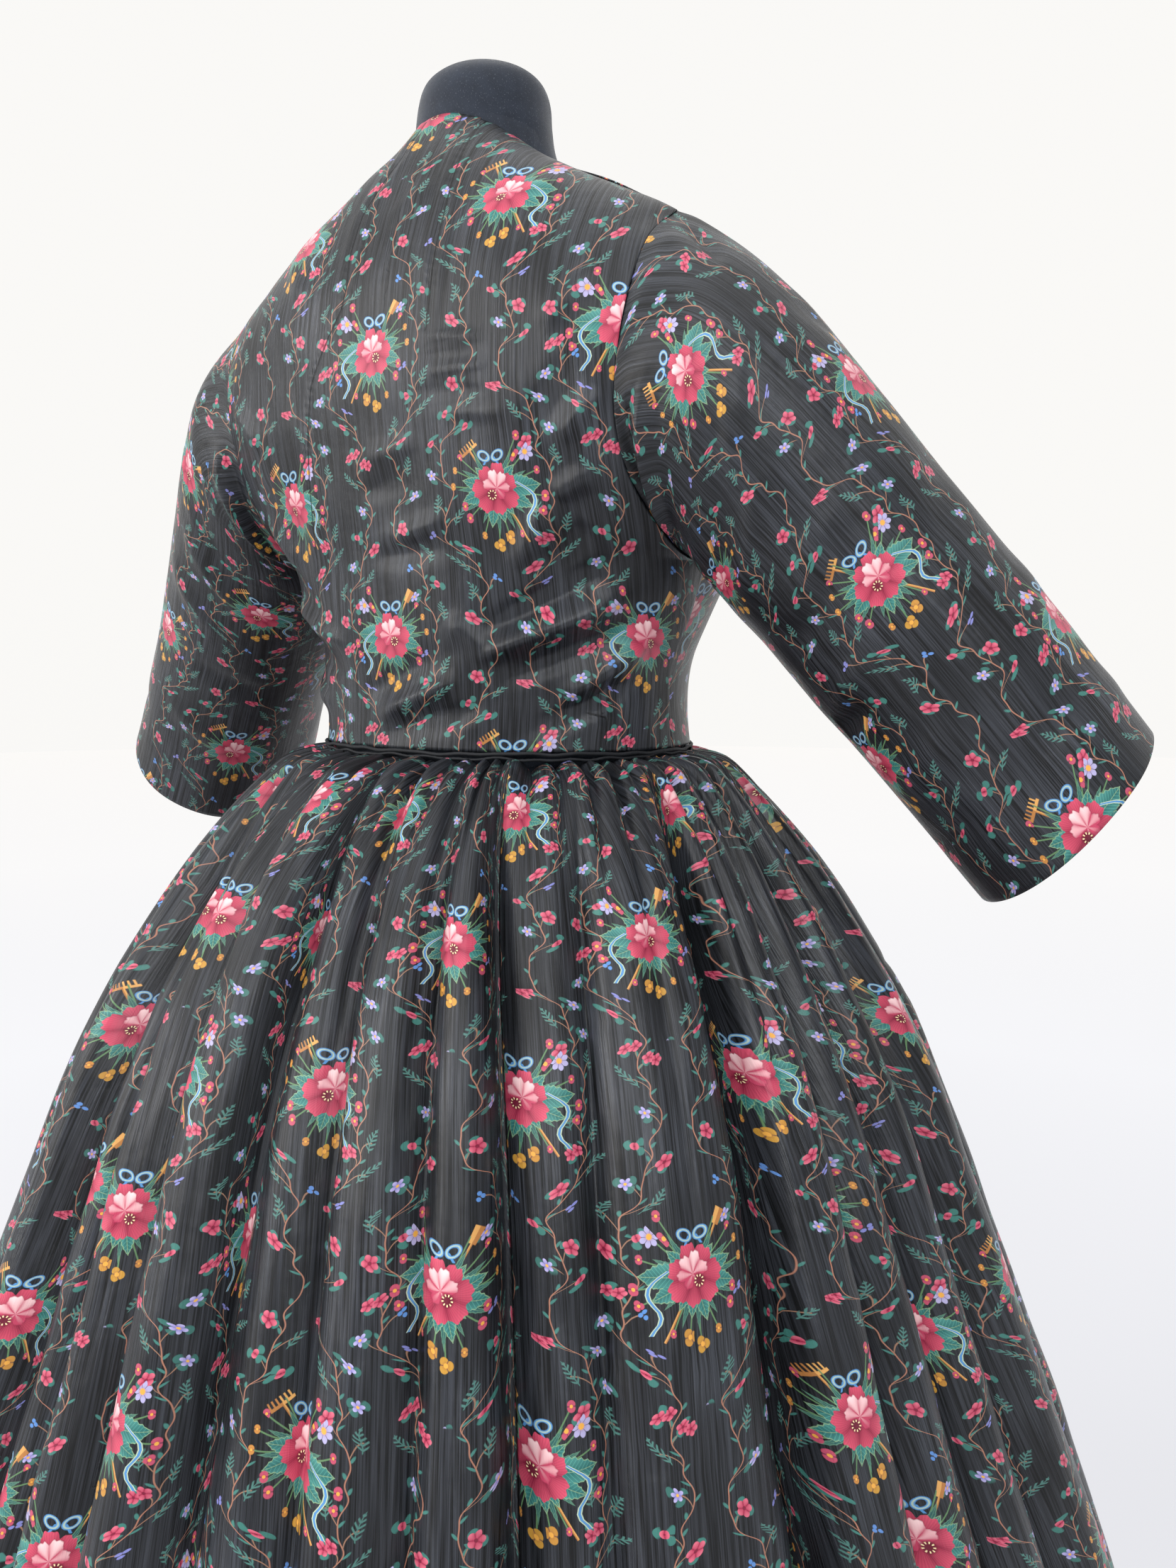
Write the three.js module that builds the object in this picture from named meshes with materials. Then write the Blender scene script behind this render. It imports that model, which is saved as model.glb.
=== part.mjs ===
// A gathered day dress of glazed cotton chintz, standing on a limbless dress form.
// Millimetres, +Z up. The front of the dress faces -Y and the wearer's right side is -X.
import * as THREE from 'three';

// ---- driving sizes ----
const waistHeight = 1036;
const waistHalfWidth = 127;
const waistHalfDepth = 105;
const hemClearance = 20;
const bodiceWall = 1.2;
const sleeveWall = 1.2;
const skirtWall = 1.5;
const seamGap = 0.3;
const formClearance = 0.8;
const pipingRadius = 1.6;

const backColumns = 8;
const skirtPanels = 5;
const gathersPerPanel = 17;
const gatherHeight = 1.5;
const gatherFade = 55;
const firstSeamAngle = 38;

const basePlateRadius = 190;
const basePlateHeight = 16;
const poleRadius = 15;
const formFootDrop = 230;
const armPlateBulge = 12;
const armholeEase = 7;

const chintzColour = 0x2b2d31;
const pipingColour = 0x121214;
const formColour = 0x1b1d23;
const poleColour = 0x2a2b2e;
const baseColour = 0x4a3424;

// Heights in the tables below are measured from the waist.

// The armhole of one side, from the underarm up the back to the shoulder point.
const armholeBack = [
  { x: 147, y: 0, z: 112 },
  { x: 148, y: 36, z: 119 },
  { x: 147, y: 64, z: 135 },
  { x: 144, y: 86, z: 158 },
  { x: 144, y: 98, z: 188 },
  { x: 148, y: 100, z: 220 },
  { x: 151, y: 92, z: 252 },
  { x: 151, y: 74, z: 279 },
  { x: 149, y: 42, z: 300 },
];

// The same armhole from the underarm up the front to the shoulder point.
const armholeFront = [
  { x: 147, y: 0, z: 112 },
  { x: 145, y: -28, z: 120 },
  { x: 140, y: -47, z: 138 },
  { x: 136, y: -57, z: 162 },
  { x: 134, y: -58, z: 190 },
  { x: 135, y: -50, z: 222 },
  { x: 139, y: -32, z: 252 },
  { x: 144, y: -2, z: 281 },
  { x: 149, y: 42, z: 300 },
];

// The shoulder seam from the armhole to the side of the neck.
const shoulderSeam = [
  { x: 149, y: 42, z: 300 },
  { x: 118, y: 43, z: 318 },
  { x: 82, y: 37, z: 336 },
  { x: 50, y: 25, z: 353 },
];

// Centre-back and centre-front lines: height of the centre point of a section against the height
// of its side edge, how far the centre stands out, and how square the section is.
const backLine = [
  { edge: 0, height: 0, reach: 105, square: 2.0 },
  { edge: 40, height: 40, reach: 101, square: 2.05 },
  { edge: 112, height: 112, reach: 106, square: 2.2 },
  { edge: 160, height: 160, reach: 113, square: 2.6 },
  { edge: 215, height: 215, reach: 119, square: 2.8 },
  { edge: 260, height: 260, reach: 117, square: 2.7 },
  { edge: 300, height: 304, reach: 104, square: 2.3 },
  { edge: 330, height: 345, reach: 86, square: 2.1 },
  { edge: 353, height: 375, reach: 63, square: 2.0 },
];

const frontLine = [
  { edge: 0, height: 0, reach: -105, square: 2.0 },
  { edge: 40, height: 40, reach: -107, square: 2.05 },
  { edge: 112, height: 112, reach: -128, square: 2.3 },
  { edge: 160, height: 158, reach: -134, square: 2.4 },
  { edge: 215, height: 203, reach: -124, square: 2.4 },
  { edge: 260, height: 236, reach: -108, square: 2.3 },
  { edge: 300, height: 266, reach: -86, square: 2.2 },
  { edge: 330, height: 286, reach: -58, square: 2.1 },
  { edge: 353, height: 306, reach: -28, square: 2.0 },
];

// Half width of the torso below the underarm.
const sideLine = [
  { height: 0, halfWidth: 127 },
  { height: 20, halfWidth: 123 },
  { height: 42, halfWidth: 122 },
  { height: 62, halfWidth: 126 },
  { height: 85, halfWidth: 135 },
  { height: 112, halfWidth: 147 },
];

// Sleeve sections: centre, lean of the section's top away from the body, plan heading of the arm
// towards the front, half height and half depth of the section. x is the distance from mid-body.
const sleeveSections = [
  { x: 158, y: 24, z: 203, lean: 5, heading: 0, halfHeight: 89, halfDepth: 76 },
  { x: 173, y: 24, z: 194, lean: 13, heading: 6, halfHeight: 80, halfDepth: 76 },
  { x: 191, y: 16, z: 171, lean: 25, heading: 14, halfHeight: 75, halfDepth: 73 },
  { x: 213, y: 6, z: 142, lean: 35, heading: 20, halfHeight: 70, halfDepth: 70 },
  { x: 240, y: -7, z: 107, lean: 42, heading: 24, halfHeight: 67, halfDepth: 68 },
  { x: 267, y: -20, z: 72, lean: 46, heading: 26, halfHeight: 65.5, halfDepth: 68 },
  { x: 294, y: -33, z: 37, lean: 47, heading: 26, halfHeight: 65, halfDepth: 69 },
  { x: 320, y: -46, z: 2, lean: 45, heading: 26, halfHeight: 64, halfDepth: 71 },
  { x: 343, y: -57, z: -29, lean: 40, heading: 26, halfHeight: 64, halfDepth: 73 },
];

// Radius of the skirt against the depth below the waist.
const skirtProfile = [
  { drop: 0, radius: 117 },
  { drop: 2, radius: 118 },
  { drop: 4, radius: 132 },
  { drop: 8, radius: 143 },
  { drop: 14, radius: 151 },
  { drop: 23, radius: 161 },
  { drop: 36, radius: 174 },
  { drop: 67, radius: 201 },
  { drop: 110, radius: 232 },
  { drop: 151, radius: 258 },
  { drop: 192, radius: 280 },
  { drop: 253, radius: 305 },
  { drop: 311, radius: 328 },
  { drop: 385, radius: 356 },
  { drop: 455, radius: 383 },
  { drop: 600, radius: 434 },
  { drop: 800, radius: 501 },
  { drop: 1016, radius: 568 },
];

// Troughs of the large folds: bearing at the waist and lower down (degrees from centre back
// towards the wearer's right), depth of the trough in mm and its half width in degrees.
const folds = [
  { waist: -63, low: -50, depth: 9, spread: 4.2 },
  { waist: -51, low: -38, depth: 12, spread: 3.8 },
  { waist: -40, low: -27, depth: 8, spread: 3.6 },
  { waist: -32, low: -18, depth: 11, spread: 3.2 },
  { waist: -24, low: -11, depth: 13, spread: 3.0 },
  { waist: -13, low: -1, depth: 10, spread: 3.6 },
  { waist: 2, low: 12, depth: 14, spread: 3.6 },
  { waist: 14, low: 21, depth: 15, spread: 3.2 },
  { waist: 26, low: 30, depth: 11, spread: 3.2 },
  { waist: 33, low: 38, depth: 13, spread: 2.6 },
  { waist: 45, low: 45, depth: 8, spread: 3.2 },
  { waist: 60, low: 62, depth: 17, spread: 3.6 },
  { waist: 71, low: 73, depth: 12, spread: 3.2 },
  { waist: 83, low: 82, depth: 10, spread: 3.2 },
  { waist: 97, low: 93, depth: 12, spread: 3.4 },
  { waist: 109, low: 105, depth: 9, spread: 3.8 },
  { waist: 120, low: 117, depth: 13, spread: 3.6 },
  { waist: 133, low: 130, depth: 9, spread: 3.8 },
  { waist: 144, low: 142, depth: 14, spread: 3.6 },
  { waist: 157, low: 156, depth: 10, spread: 4.0 },
  { waist: 170, low: 169, depth: 13, spread: 3.6 },
  { waist: 183, low: 183, depth: 9, spread: 4.0 },
  { waist: 194, low: 196, depth: 14, spread: 3.6 },
  { waist: 207, low: 209, depth: 11, spread: 3.8 },
  { waist: 218, low: 222, depth: 12, spread: 3.6 },
  { waist: 231, low: 236, depth: 9, spread: 4.2 },
  { waist: 243, low: 249, depth: 14, spread: 3.6 },
  { waist: 256, low: 263, depth: 10, spread: 3.8 },
  { waist: 268, low: 276, depth: 13, spread: 3.8 },
  { waist: 282, low: 293, depth: 10, spread: 4.4 },
];

// Depths below the waist at which the skirt has a section; below the coarse drop every second
// column goes on down.
const fineDrops = [2, 4, 8, 18, 36, 66, 110, 170, 245, 335];
const coarseDrops = [450, 590, 780, waistHeight - hemClearance];

// Sections of the form's neck and domed top: height, centre, half width and half depth.
const neckSections = [
  { height: 379, y: 20, halfWidth: 42.5, halfDepth: 40 },
  { height: 393, y: 20, halfWidth: 41, halfDepth: 39 },
  { height: 404, y: 20, halfWidth: 36.5, halfDepth: 35 },
  { height: 411, y: 19, halfWidth: 28, halfDepth: 27 },
  { height: 415, y: 19, halfWidth: 15, halfDepth: 15 },
];

// Sections of the form below the waist, where the skirt covers it.
const hipSections = [
  { drop: 230, halfWidth: 146, halfDepth: 118, y: 0 },
  { drop: 218, halfWidth: 158, halfDepth: 130, y: 0 },
  { drop: 150, halfWidth: 161, halfDepth: 133, y: 2 },
  { drop: 90, halfWidth: 148, halfDepth: 124, y: 1 },
  { drop: 40, halfWidth: 126, halfDepth: 108, y: 0 },
  { drop: 14, halfWidth: 114, halfDepth: 95, y: 0 },
];

// ---- curves through tables ----

const degree = Math.PI / 180;

/** Smooth monotone value of one column of a table at a place along its key column. */
function tableValue(rows, key, column, place) {
  const last = rows.length - 1;
  if (place <= rows[0][key]) return rows[0][column];
  if (place >= rows[last][key]) return rows[last][column];
  let low = 0;
  while (rows[low + 1][key] < place) low += 1;
  const slope = (i) => (rows[i + 1][column] - rows[i][column]) / (rows[i + 1][key] - rows[i][key]);
  const tangent = (i) => {
    if (i === 0) return slope(0);
    if (i === last) return slope(last - 1);
    const before = slope(i - 1);
    const after = slope(i);
    return before * after <= 0 ? 0 : (2 * before * after) / (before + after);
  };
  const span = rows[low + 1][key] - rows[low][key];
  const t = (place - rows[low][key]) / span;
  const square = t * t;
  const cube = square * t;
  return (2 * cube - 3 * square + 1) * rows[low][column]
    + (cube - 2 * square + t) * span * tangent(low)
    + (3 * square - 2 * cube) * rows[low + 1][column]
    + (cube - square) * span * tangent(low + 1);
}

/** Points spaced along a smooth curve through a table of x, y, z rows. */
function curvePoints(rows, steps) {
  const points = rows.map((row) => new THREE.Vector3(row.x, row.y, row.z));
  return new THREE.CatmullRomCurve3(points).getPoints(steps);
}

// ---- closed solids from grids of points ----

/** Triangles between two rows of vertex numbers, the second as long as the first or half of it. */
function joinRows(first, second, triangles) {
  const sameLength = first.length === second.length;
  const steps = second.length - 1;
  for (let i = 0; i < steps; i += 1) {
    if (sameLength) {
      triangles.push([first[i], second[i], first[i + 1]]);
      triangles.push([first[i + 1], second[i], second[i + 1]]);
    } else {
      triangles.push([first[2 * i], second[i], first[2 * i + 1]]);
      triangles.push([first[2 * i + 1], second[i], second[i + 1]]);
      triangles.push([first[2 * i + 1], second[i + 1], first[2 * i + 2]]);
    }
  }
}

/** A geometry of single-sided triangles, turned so that they face outwards. */
function solidGeometry(points, triangles) {
  let volume = 0;
  for (const [a, b, c] of triangles) {
    volume += points[a].dot(new THREE.Vector3().crossVectors(points[b], points[c]));
  }
  const order = volume < 0 ? [0, 2, 1] : [0, 1, 2];
  const positions = [];
  for (const triangle of triangles) {
    for (const corner of order) {
      const point = points[triangle[corner]];
      positions.push(point.x, point.y, point.z);
    }
  }
  const geometry = new THREE.BufferGeometry();
  geometry.setAttribute('position', new THREE.Float32BufferAttribute(positions, 3));
  geometry.computeVertexNormals();
  return geometry;
}

/** A cloth wall between an outer and an inner grid of points. */
function wallGeometry(outerRows, innerRows, isTube) {
  const points = [];
  const number = (rows) => rows.map((row) => row.map((point) => points.push(point) - 1));
  const outer = number(outerRows);
  const inner = number(innerRows);
  if (isTube) {
    outer.forEach((row) => row.push(row[0]));
    inner.forEach((row) => row.push(row[0]));
  }
  const triangles = [];
  for (let i = 0; i + 1 < outer.length; i += 1) {
    joinRows(outer[i], outer[i + 1], triangles);
    const back = [];
    joinRows(inner[i], inner[i + 1], back);
    for (const [a, b, c] of back) triangles.push([a, c, b]);
  }
  const last = outer.length - 1;
  joinRows(inner[0], outer[0], triangles);
  joinRows(outer[last], inner[last], triangles);
  if (!isTube) {
    const end = (rows, atStart) => rows.map((row) => (atStart ? row[0] : row[row.length - 1]));
    joinRows(end(outer, true), end(inner, true), triangles);
    joinRows(end(inner, false), end(outer, false), triangles);
  }
  return solidGeometry(points, triangles);
}

/** A closed body through rings of equal length, with a flat cap on each end. */
function loftGeometry(rings) {
  const points = [];
  const numbers = rings.map((ring) => ring.map((point) => points.push(point) - 1));
  const triangles = [];
  numbers.forEach((ring) => ring.push(ring[0]));
  for (let i = 0; i + 1 < numbers.length; i += 1) joinRows(numbers[i], numbers[i + 1], triangles);
  const cap = (ring, numbersOfRing, isFirst) => {
    const middle = new THREE.Vector3();
    ring.forEach((point) => middle.addScaledVector(point, 1 / ring.length));
    const centre = points.push(middle) - 1;
    for (let i = 0; i < ring.length; i += 1) {
      const edge = [numbersOfRing[i], numbersOfRing[i + 1]];
      triangles.push(isFirst ? [centre, edge[0], edge[1]] : [centre, edge[1], edge[0]]);
    }
  };
  cap(rings[0], numbers[0], true);
  cap(rings[rings.length - 1], numbers[numbers.length - 1], false);
  return solidGeometry(points, triangles);
}

/** The grid moved inwards along its own normals; turn is 1 where rows x columns face outwards. */
function offsetGrid(rows, distance, isTube, turn) {
  const last = rows.length - 1;
  return rows.map((row, i) => row.map((point, j) => {
    const end = row.length - 1;
    const above = rows[Math.min(i + 1, last)][j];
    const below = rows[Math.max(i - 1, 0)][j];
    const next = isTube ? row[(j + 1) % row.length] : row[Math.min(j + 1, end)];
    const previous = isTube ? row[(j + end) % row.length] : row[Math.max(j - 1, 0)];
    const along = new THREE.Vector3().subVectors(above, below);
    const across = new THREE.Vector3().subVectors(next, previous);
    const normal = across.cross(along).normalize();
    return point.clone().addScaledVector(normal, -turn * distance);
  }));
}

const raise = (point) => point.clone().add(new THREE.Vector3(0, 0, waistHeight));

// ---- bodice ----

const armholeSteps = 10;
const shoulderSteps = 4;
const sideHeights = [2, 22, 44, 66, 90];

/** Side edges of the sections of the back or front, from the waist to the neck. */
function sideEdges(armhole) {
  const edges = sideHeights.map((height) => ({
    x: tableValue(sideLine, 'height', 'halfWidth', height), y: 0, z: height,
  }));
  curvePoints(armhole, armholeSteps).forEach((point) => edges.push(point));
  curvePoints(shoulderSeam, shoulderSteps).slice(1).forEach((point) => edges.push(point));
  return edges;
}

/** Point of a section: fraction 0 at the centre line, 1 at the side edge. */
function sectionPoint(line, edge, centreHeight, fraction) {
  const reach = tableValue(line, 'edge', 'reach', edge.z);
  const square = tableValue(line, 'edge', 'square', edge.z);
  const middle = reach > 0 ? Math.min(edge.y, backCentre(edge.z)) : Math.max(edge.y, 0);
  const depth = reach - middle;
  const edgeShare = Math.min(1, Math.abs((edge.y - middle) / depth));
  const fullWidth = edge.x / (1 - edgeShare ** square) ** (1 / square);
  const swing = Math.asin(Math.min(1, edge.x / fullWidth));
  const x = fullWidth * Math.sin(fraction * swing);
  const y = middle + depth * Math.max(0, 1 - (x / fullWidth) ** square) ** (1 / square);
  const z = centreHeight + (edge.z - centreHeight) * (x / edge.x) ** 2;
  return new THREE.Vector3(x, y, z);
}

/** Centre of the back sections: it moves back under the neck. */
function backCentre(height) {
  return 24 * Math.min(1, Math.max(0, (height - 250) / 50));
}

/** Rows of points over the whole back, left to right, from the waist to the neck. */
function bodiceRows(line, armhole, columns) {
  return sideEdges(armhole).map((edge) => {
    const centreHeight = tableValue(line, 'edge', 'height', edge.z);
    const row = [];
    for (let j = -columns; j <= columns; j += 1) {
      const point = sectionPoint(line, edge, centreHeight, Math.abs(j) / columns);
      if (j > 0) point.x = -point.x;
      row.push(raise(point));
    }
    return row;
  });
}

const backRows = bodiceRows(backLine, armholeBack, backColumns);
const frontRows = bodiceRows(frontLine, armholeFront, backColumns);

const backInner = (distance) => offsetGrid(backRows, distance, false, 1);
const frontInner = (distance) => offsetGrid(frontRows, distance, false, -1);

/** Inner grids of back and front, which meet where their edges share a seam. */
function innerGrids(distance) {
  const back = backInner(distance);
  const front = frontInner(distance);
  backRows.forEach((row, i) => {
    for (const j of [0, row.length - 1]) {
      if (row[j].distanceTo(frontRows[i][j]) < seamGap) {
        const shared = back[i][j].clone().lerp(front[i][j], 0.5);
        back[i][j].copy(shared);
        front[i][j].copy(shared);
      }
    }
  });
  return { back, front };
}

/** A bodice wall with its edges drawn back from the seams. */
function bodicePanel(rows, inner, sideY, trimStart, trimEnd) {
  const half = seamGap / 2;
  const trim = (grid) => grid.map((row) => row.map((point, j) => {
    const moved = point.clone();
    if (j === 0) moved.x += trimStart * half;
    if (j === row.length - 1) moved.x += trimEnd * half;
    if (j === 0 || j === row.length - 1) moved.y += sideY * half;
    return moved;
  }));
  return wallGeometry(trim(rows), trim(inner), false);
}

// ---- sleeves ----

/** Ring of the armhole seen from outside: top, back, underarm, front. */
function armholeRing() {
  const back = curvePoints(armholeBack, armholeSteps);
  const front = curvePoints(armholeFront, armholeSteps);
  return [...back.slice().reverse(), ...front.slice(1, armholeSteps)];
}

function sleeveRing(section, count) {
  const lean = section.lean * degree;
  const heading = section.heading * degree;
  const up = new THREE.Vector3(
    Math.sin(lean) * Math.cos(heading), -Math.sin(lean) * Math.sin(heading), Math.cos(lean),
  );
  const back = new THREE.Vector3(Math.sin(heading), Math.cos(heading), 0);
  const ring = [];
  for (let j = 0; j < count; j += 1) {
    const angle = (2 * Math.PI * j) / count;
    ring.push(new THREE.Vector3(section.x, section.y, section.z)
      .addScaledVector(up, section.halfHeight * Math.cos(angle))
      .addScaledVector(back, section.halfDepth * Math.sin(angle)));
  }
  return ring;
}

/** Sections between the rows of the sleeve table. */
function sleeveStations() {
  const stations = [];
  const between = 2;
  for (let i = 0; i < sleeveSections.length - 1; i += 1) {
    for (let k = 0; k < (i < 2 ? 1 : between); k += 1) {
      const share = k / between;
      const mixed = {};
      for (const key of Object.keys(sleeveSections[i])) {
        mixed[key] = sleeveSections[i][key] * (1 - share) + sleeveSections[i + 1][key] * share;
      }
      stations.push(mixed);
    }
  }
  stations.push(sleeveSections[sleeveSections.length - 1]);
  return stations;
}

function sleeveGeometry(side) {
  const start = armholeRing();
  const count = start.length;
  const rings = sleeveStations().map((section) => sleeveRing(section, count));
  const nearShare = 0.55;
  rings[0] = rings[0].map((point, j) => {
    const carried = start[j].clone().add(new THREE.Vector3(10, 0, -4));
    return point.lerp(carried, nearShare);
  });
  rings.unshift(start.map((point) => point.clone().add(new THREE.Vector3(seamGap / 2, 0, 0))));
  const placed = rings.map((ring) => ring.map((point) => {
    const moved = raise(point);
    moved.x *= side;
    return moved;
  }));
  const inner = offsetGrid(placed, sleeveWall, true, side);
  return wallGeometry(placed, inner, true);
}

// ---- skirt ----

/** Bearing of a skirt column at a depth: columns follow the folds from the waist down. */
function skirtBearing(column, drop) {
  const turn = Math.round((column - 113) / 360) * 360;
  const wrapped = column - turn;
  const table = folds.concat([{ waist: folds[0].waist + 360, low: folds[0].low + 360 }]);
  const waist = tableValue(table, 'low', 'waist', wrapped < folds[0].low ? wrapped + 360 : wrapped)
    - (wrapped < folds[0].low ? 360 : 0);
  const settle = Math.exp(-((drop / 150) ** 1.3));
  return wrapped + (waist - wrapped) * settle + turn;
}

function skirtRadius(column, drop) {
  const growth = Math.min(1, Math.max(0, (drop - 6) / 150));
  const widening = 1 + drop / 900;
  let relief = 5;
  for (const fold of folds) {
    const away = ((column - fold.low + 540) % 360) - 180;
    const spread = fold.spread * (1.15 + drop / 2500);
    relief -= fold.depth * Math.exp(-((away / spread) ** 2));
  }
  const gather = Math.cos((column - firstSeamAngle) * (gathersPerPanel * skirtPanels) * degree);
  return tableValue(skirtProfile, 'drop', 'radius', drop) + relief * growth * widening
    + gather * gatherHeight * Math.exp(-drop / gatherFade);
}

/** Point on the skirt's outer face; the section is the oval waist at the top, round below. */
function skirtPoint(column, drop, seamShift) {
  const radius = skirtRadius(column, drop);
  const roundness = 1 - Math.exp(-drop / 45);
  const bearing = skirtBearing(column, drop) * degree + seamShift / radius;
  const base = tableValue(skirtProfile, 'drop', 'radius', 0);
  const wide = radius + (waistHalfWidth - base) * (1 - roundness);
  const deep = radius + (waistHalfDepth - base) * (1 - roundness);
  return new THREE.Vector3(
    -wide * Math.sin(bearing), deep * Math.cos(bearing), waistHeight - drop,
  );
}

/** Outward direction of the plain skirt profile, without folds. */
function skirtNormal(column, drop) {
  const step = 2;
  const low = Math.max(drop, step);
  const rise = tableValue(skirtProfile, 'drop', 'radius', low + step)
    - tableValue(skirtProfile, 'drop', 'radius', low - step);
  const bearing = skirtBearing(column, drop) * degree;
  return new THREE.Vector3(-2 * step * Math.sin(bearing), 2 * step * Math.cos(bearing), rise)
    .normalize();
}

function skirtPanelGeometry(panel) {
  const columns = 2 * gathersPerPanel;
  const panelAngle = 360 / skirtPanels;
  const start = firstSeamAngle + panel * panelAngle;
  const outer = [];
  const inner = [];
  for (const drop of [...fineDrops, ...coarseDrops]) {
    const stride = coarseDrops.includes(drop) ? 2 : 1;
    const outerRow = [];
    const innerRow = [];
    for (let j = 0; j <= columns; j += stride) {
      let shift = 0;
      if (j === 0) shift = seamGap / 2;
      if (j === columns) shift = -seamGap / 2;
      const column = start + (panelAngle * j) / columns;
      const point = skirtPoint(column, drop, shift);
      outerRow.push(point);
      innerRow.push(point.clone().addScaledVector(skirtNormal(column, drop), -skirtWall));
    }
    outer.push(outerRow);
    inner.push(innerRow);
  }
  return wallGeometry(outer, inner, false);
}

// ---- waist piping ----

function pipingGeometry() {
  const around = 64;
  const sides = 6;
  const centreInset = 0.4;
  const rings = [];
  for (let i = 0; i < around; i += 1) {
    const bearing = (2 * Math.PI * i) / around;
    const outward = new THREE.Vector3(-Math.sin(bearing), Math.cos(bearing), 0);
    const centre = new THREE.Vector3(
      -(waistHalfWidth - centreInset) * Math.sin(bearing),
      (waistHalfDepth - centreInset) * Math.cos(bearing),
      waistHeight,
    );
    const ring = [];
    for (let k = 0; k < sides; k += 1) {
      const angle = (2 * Math.PI * (k + 0.5)) / sides;
      ring.push(centre.clone()
        .addScaledVector(outward, pipingRadius * Math.cos(angle))
        .add(new THREE.Vector3(0, 0, pipingRadius * Math.sin(angle))));
    }
    rings.push(ring);
  }
  const points = [];
  const numbers = rings.map((ring) => ring.map((point) => points.push(point) - 1));
  numbers.forEach((ring) => ring.push(ring[0]));
  const triangles = [];
  for (let i = 0; i < around; i += 1) joinRows(numbers[i], numbers[(i + 1) % around], triangles);
  return solidGeometry(points, triangles);
}

// ---- dress form ----

/** A point of a whole row, moved a little from the side edge to leave room for an edge point. */
function drawnIn(row, j) {
  const share = (j - backColumns) / backColumns;
  const place = backColumns * (1 + share * (1 - 0.07 * Math.abs(share)));
  const low = Math.floor(place);
  const high = Math.min(low + 1, row.length - 1);
  return row[low].clone().lerp(row[high], place - low);
}

/** The form inside the dress: hips, torso with rounded armhole plates, and the domed neck. */
function formGeometry() {
  const rings = [];
  const quarter = backColumns + 1;
  const ovalRing = (halfWidth, halfDepth, y, z) => {
    const ring = [];
    for (let j = 0; j < 4 * quarter; j += 1) {
      const angle = (Math.PI * j) / (2 * quarter);
      ring.push(new THREE.Vector3(halfWidth * Math.sin(angle), y + halfDepth * Math.cos(angle), z));
    }
    return ring;
  };
  for (const hip of hipSections) {
    rings.push(ovalRing(hip.halfWidth, hip.halfDepth, hip.y, waistHeight - hip.drop));
  }
  const near = innerGrids(bodiceWall + formClearance);
  const far = innerGrids(bodiceWall + formClearance + armholeEase);
  const underarmRow = sideHeights.length;
  const rightEdge = 2 * backColumns;
  const eased = (nearRows, farRows) => nearRows.map((row, i) => row.map((point, j) => {
    const share = Math.abs(j - backColumns) / backColumns;
    const towardsNeck = Math.max(0, (i - underarmRow - armholeSteps) / shoulderSteps);
    const edgeEase = share ** 4 * (1 - towardsNeck) * (i < underarmRow - 1 ? 0 : 1);
    return point.clone().lerp(farRows[i][j], Math.max(edgeEase, 0.3 * towardsNeck));
  }));
  const back = eased(near.back, far.back);
  const front = eased(near.front, far.front);
  for (let i = 0; i < back.length; i += 1) {
    const isTorso = i <= underarmRow;
    const climb = Math.min(1, Math.max(0, i - underarmRow) / armholeSteps);
    const plate = (edge, side) => {
      const point = back[i][edge].clone().lerp(front[i][edge], 0.5);
      point.x += side * armPlateBulge * Math.sin(Math.PI * climb);
      return point;
    };
    const torsoPoint = (grid, j) => (isTorso ? drawnIn(grid[i], j) : grid[i][j]);
    const ring = [];
    for (let j = backColumns; j >= 0; j -= 1) ring.push(torsoPoint(back, j));
    ring.push(plate(0, 1));
    for (let j = 0; j <= rightEdge; j += 1) ring.push(torsoPoint(front, j));
    ring.push(plate(rightEdge, -1));
    for (let j = rightEdge; j > backColumns; j -= 1) ring.push(torsoPoint(back, j));
    rings.push(ring);
  }
  for (const neck of neckSections) {
    rings.push(ovalRing(neck.halfWidth, neck.halfDepth, neck.y, waistHeight + neck.height));
  }
  return loftGeometry(rings);
}

// ---- assembly ----

const group = new THREE.Group();

function addMesh(name, geometry, colour, roughness, metalness) {
  const material = new THREE.MeshStandardMaterial({ color: colour, roughness, metalness });
  const mesh = new THREE.Mesh(geometry, material);
  mesh.name = name;
  group.add(mesh);
  return mesh;
}

const chintz = [chintzColour, 0.42, 0];

const bodiceInner = innerGrids(bodiceWall);
const leftHalf = (rows) => rows.map((row) => row.slice(0, backColumns + 1));
const rightHalf = (rows) => rows.map((row) => row.slice(backColumns));
addMesh('bodice_back', bodicePanel(backRows, bodiceInner.back, 1, -1, 1), ...chintz);
addMesh(
  'bodice_front_left',
  bodicePanel(leftHalf(frontRows), leftHalf(bodiceInner.front), -1, -1, 1),
  ...chintz,
);
addMesh(
  'bodice_front_right',
  bodicePanel(rightHalf(frontRows), rightHalf(bodiceInner.front), -1, -1, 1),
  ...chintz,
);
addMesh('sleeve_right', sleeveGeometry(-1), ...chintz);
addMesh('sleeve_left', sleeveGeometry(1), ...chintz);
addMesh('waist_piping', pipingGeometry(), pipingColour, 0.6, 0);
for (let panel = 0; panel < skirtPanels; panel += 1) {
  addMesh(`skirt_panel_${panel + 1}`, skirtPanelGeometry(panel), ...chintz);
}

addMesh('form_body', formGeometry(), formColour, 0.85, 0);

const poleFoot = basePlateHeight + seamGap;
const poleLength = waistHeight - formFootDrop - seamGap - poleFoot;
const pole = addMesh(
  'form_pole', new THREE.CylinderGeometry(poleRadius, poleRadius, poleLength, 24), poleColour, 0.4, 0.8,
);
pole.rotation.x = Math.PI / 2;
pole.position.z = poleFoot + poleLength / 2;

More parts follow.
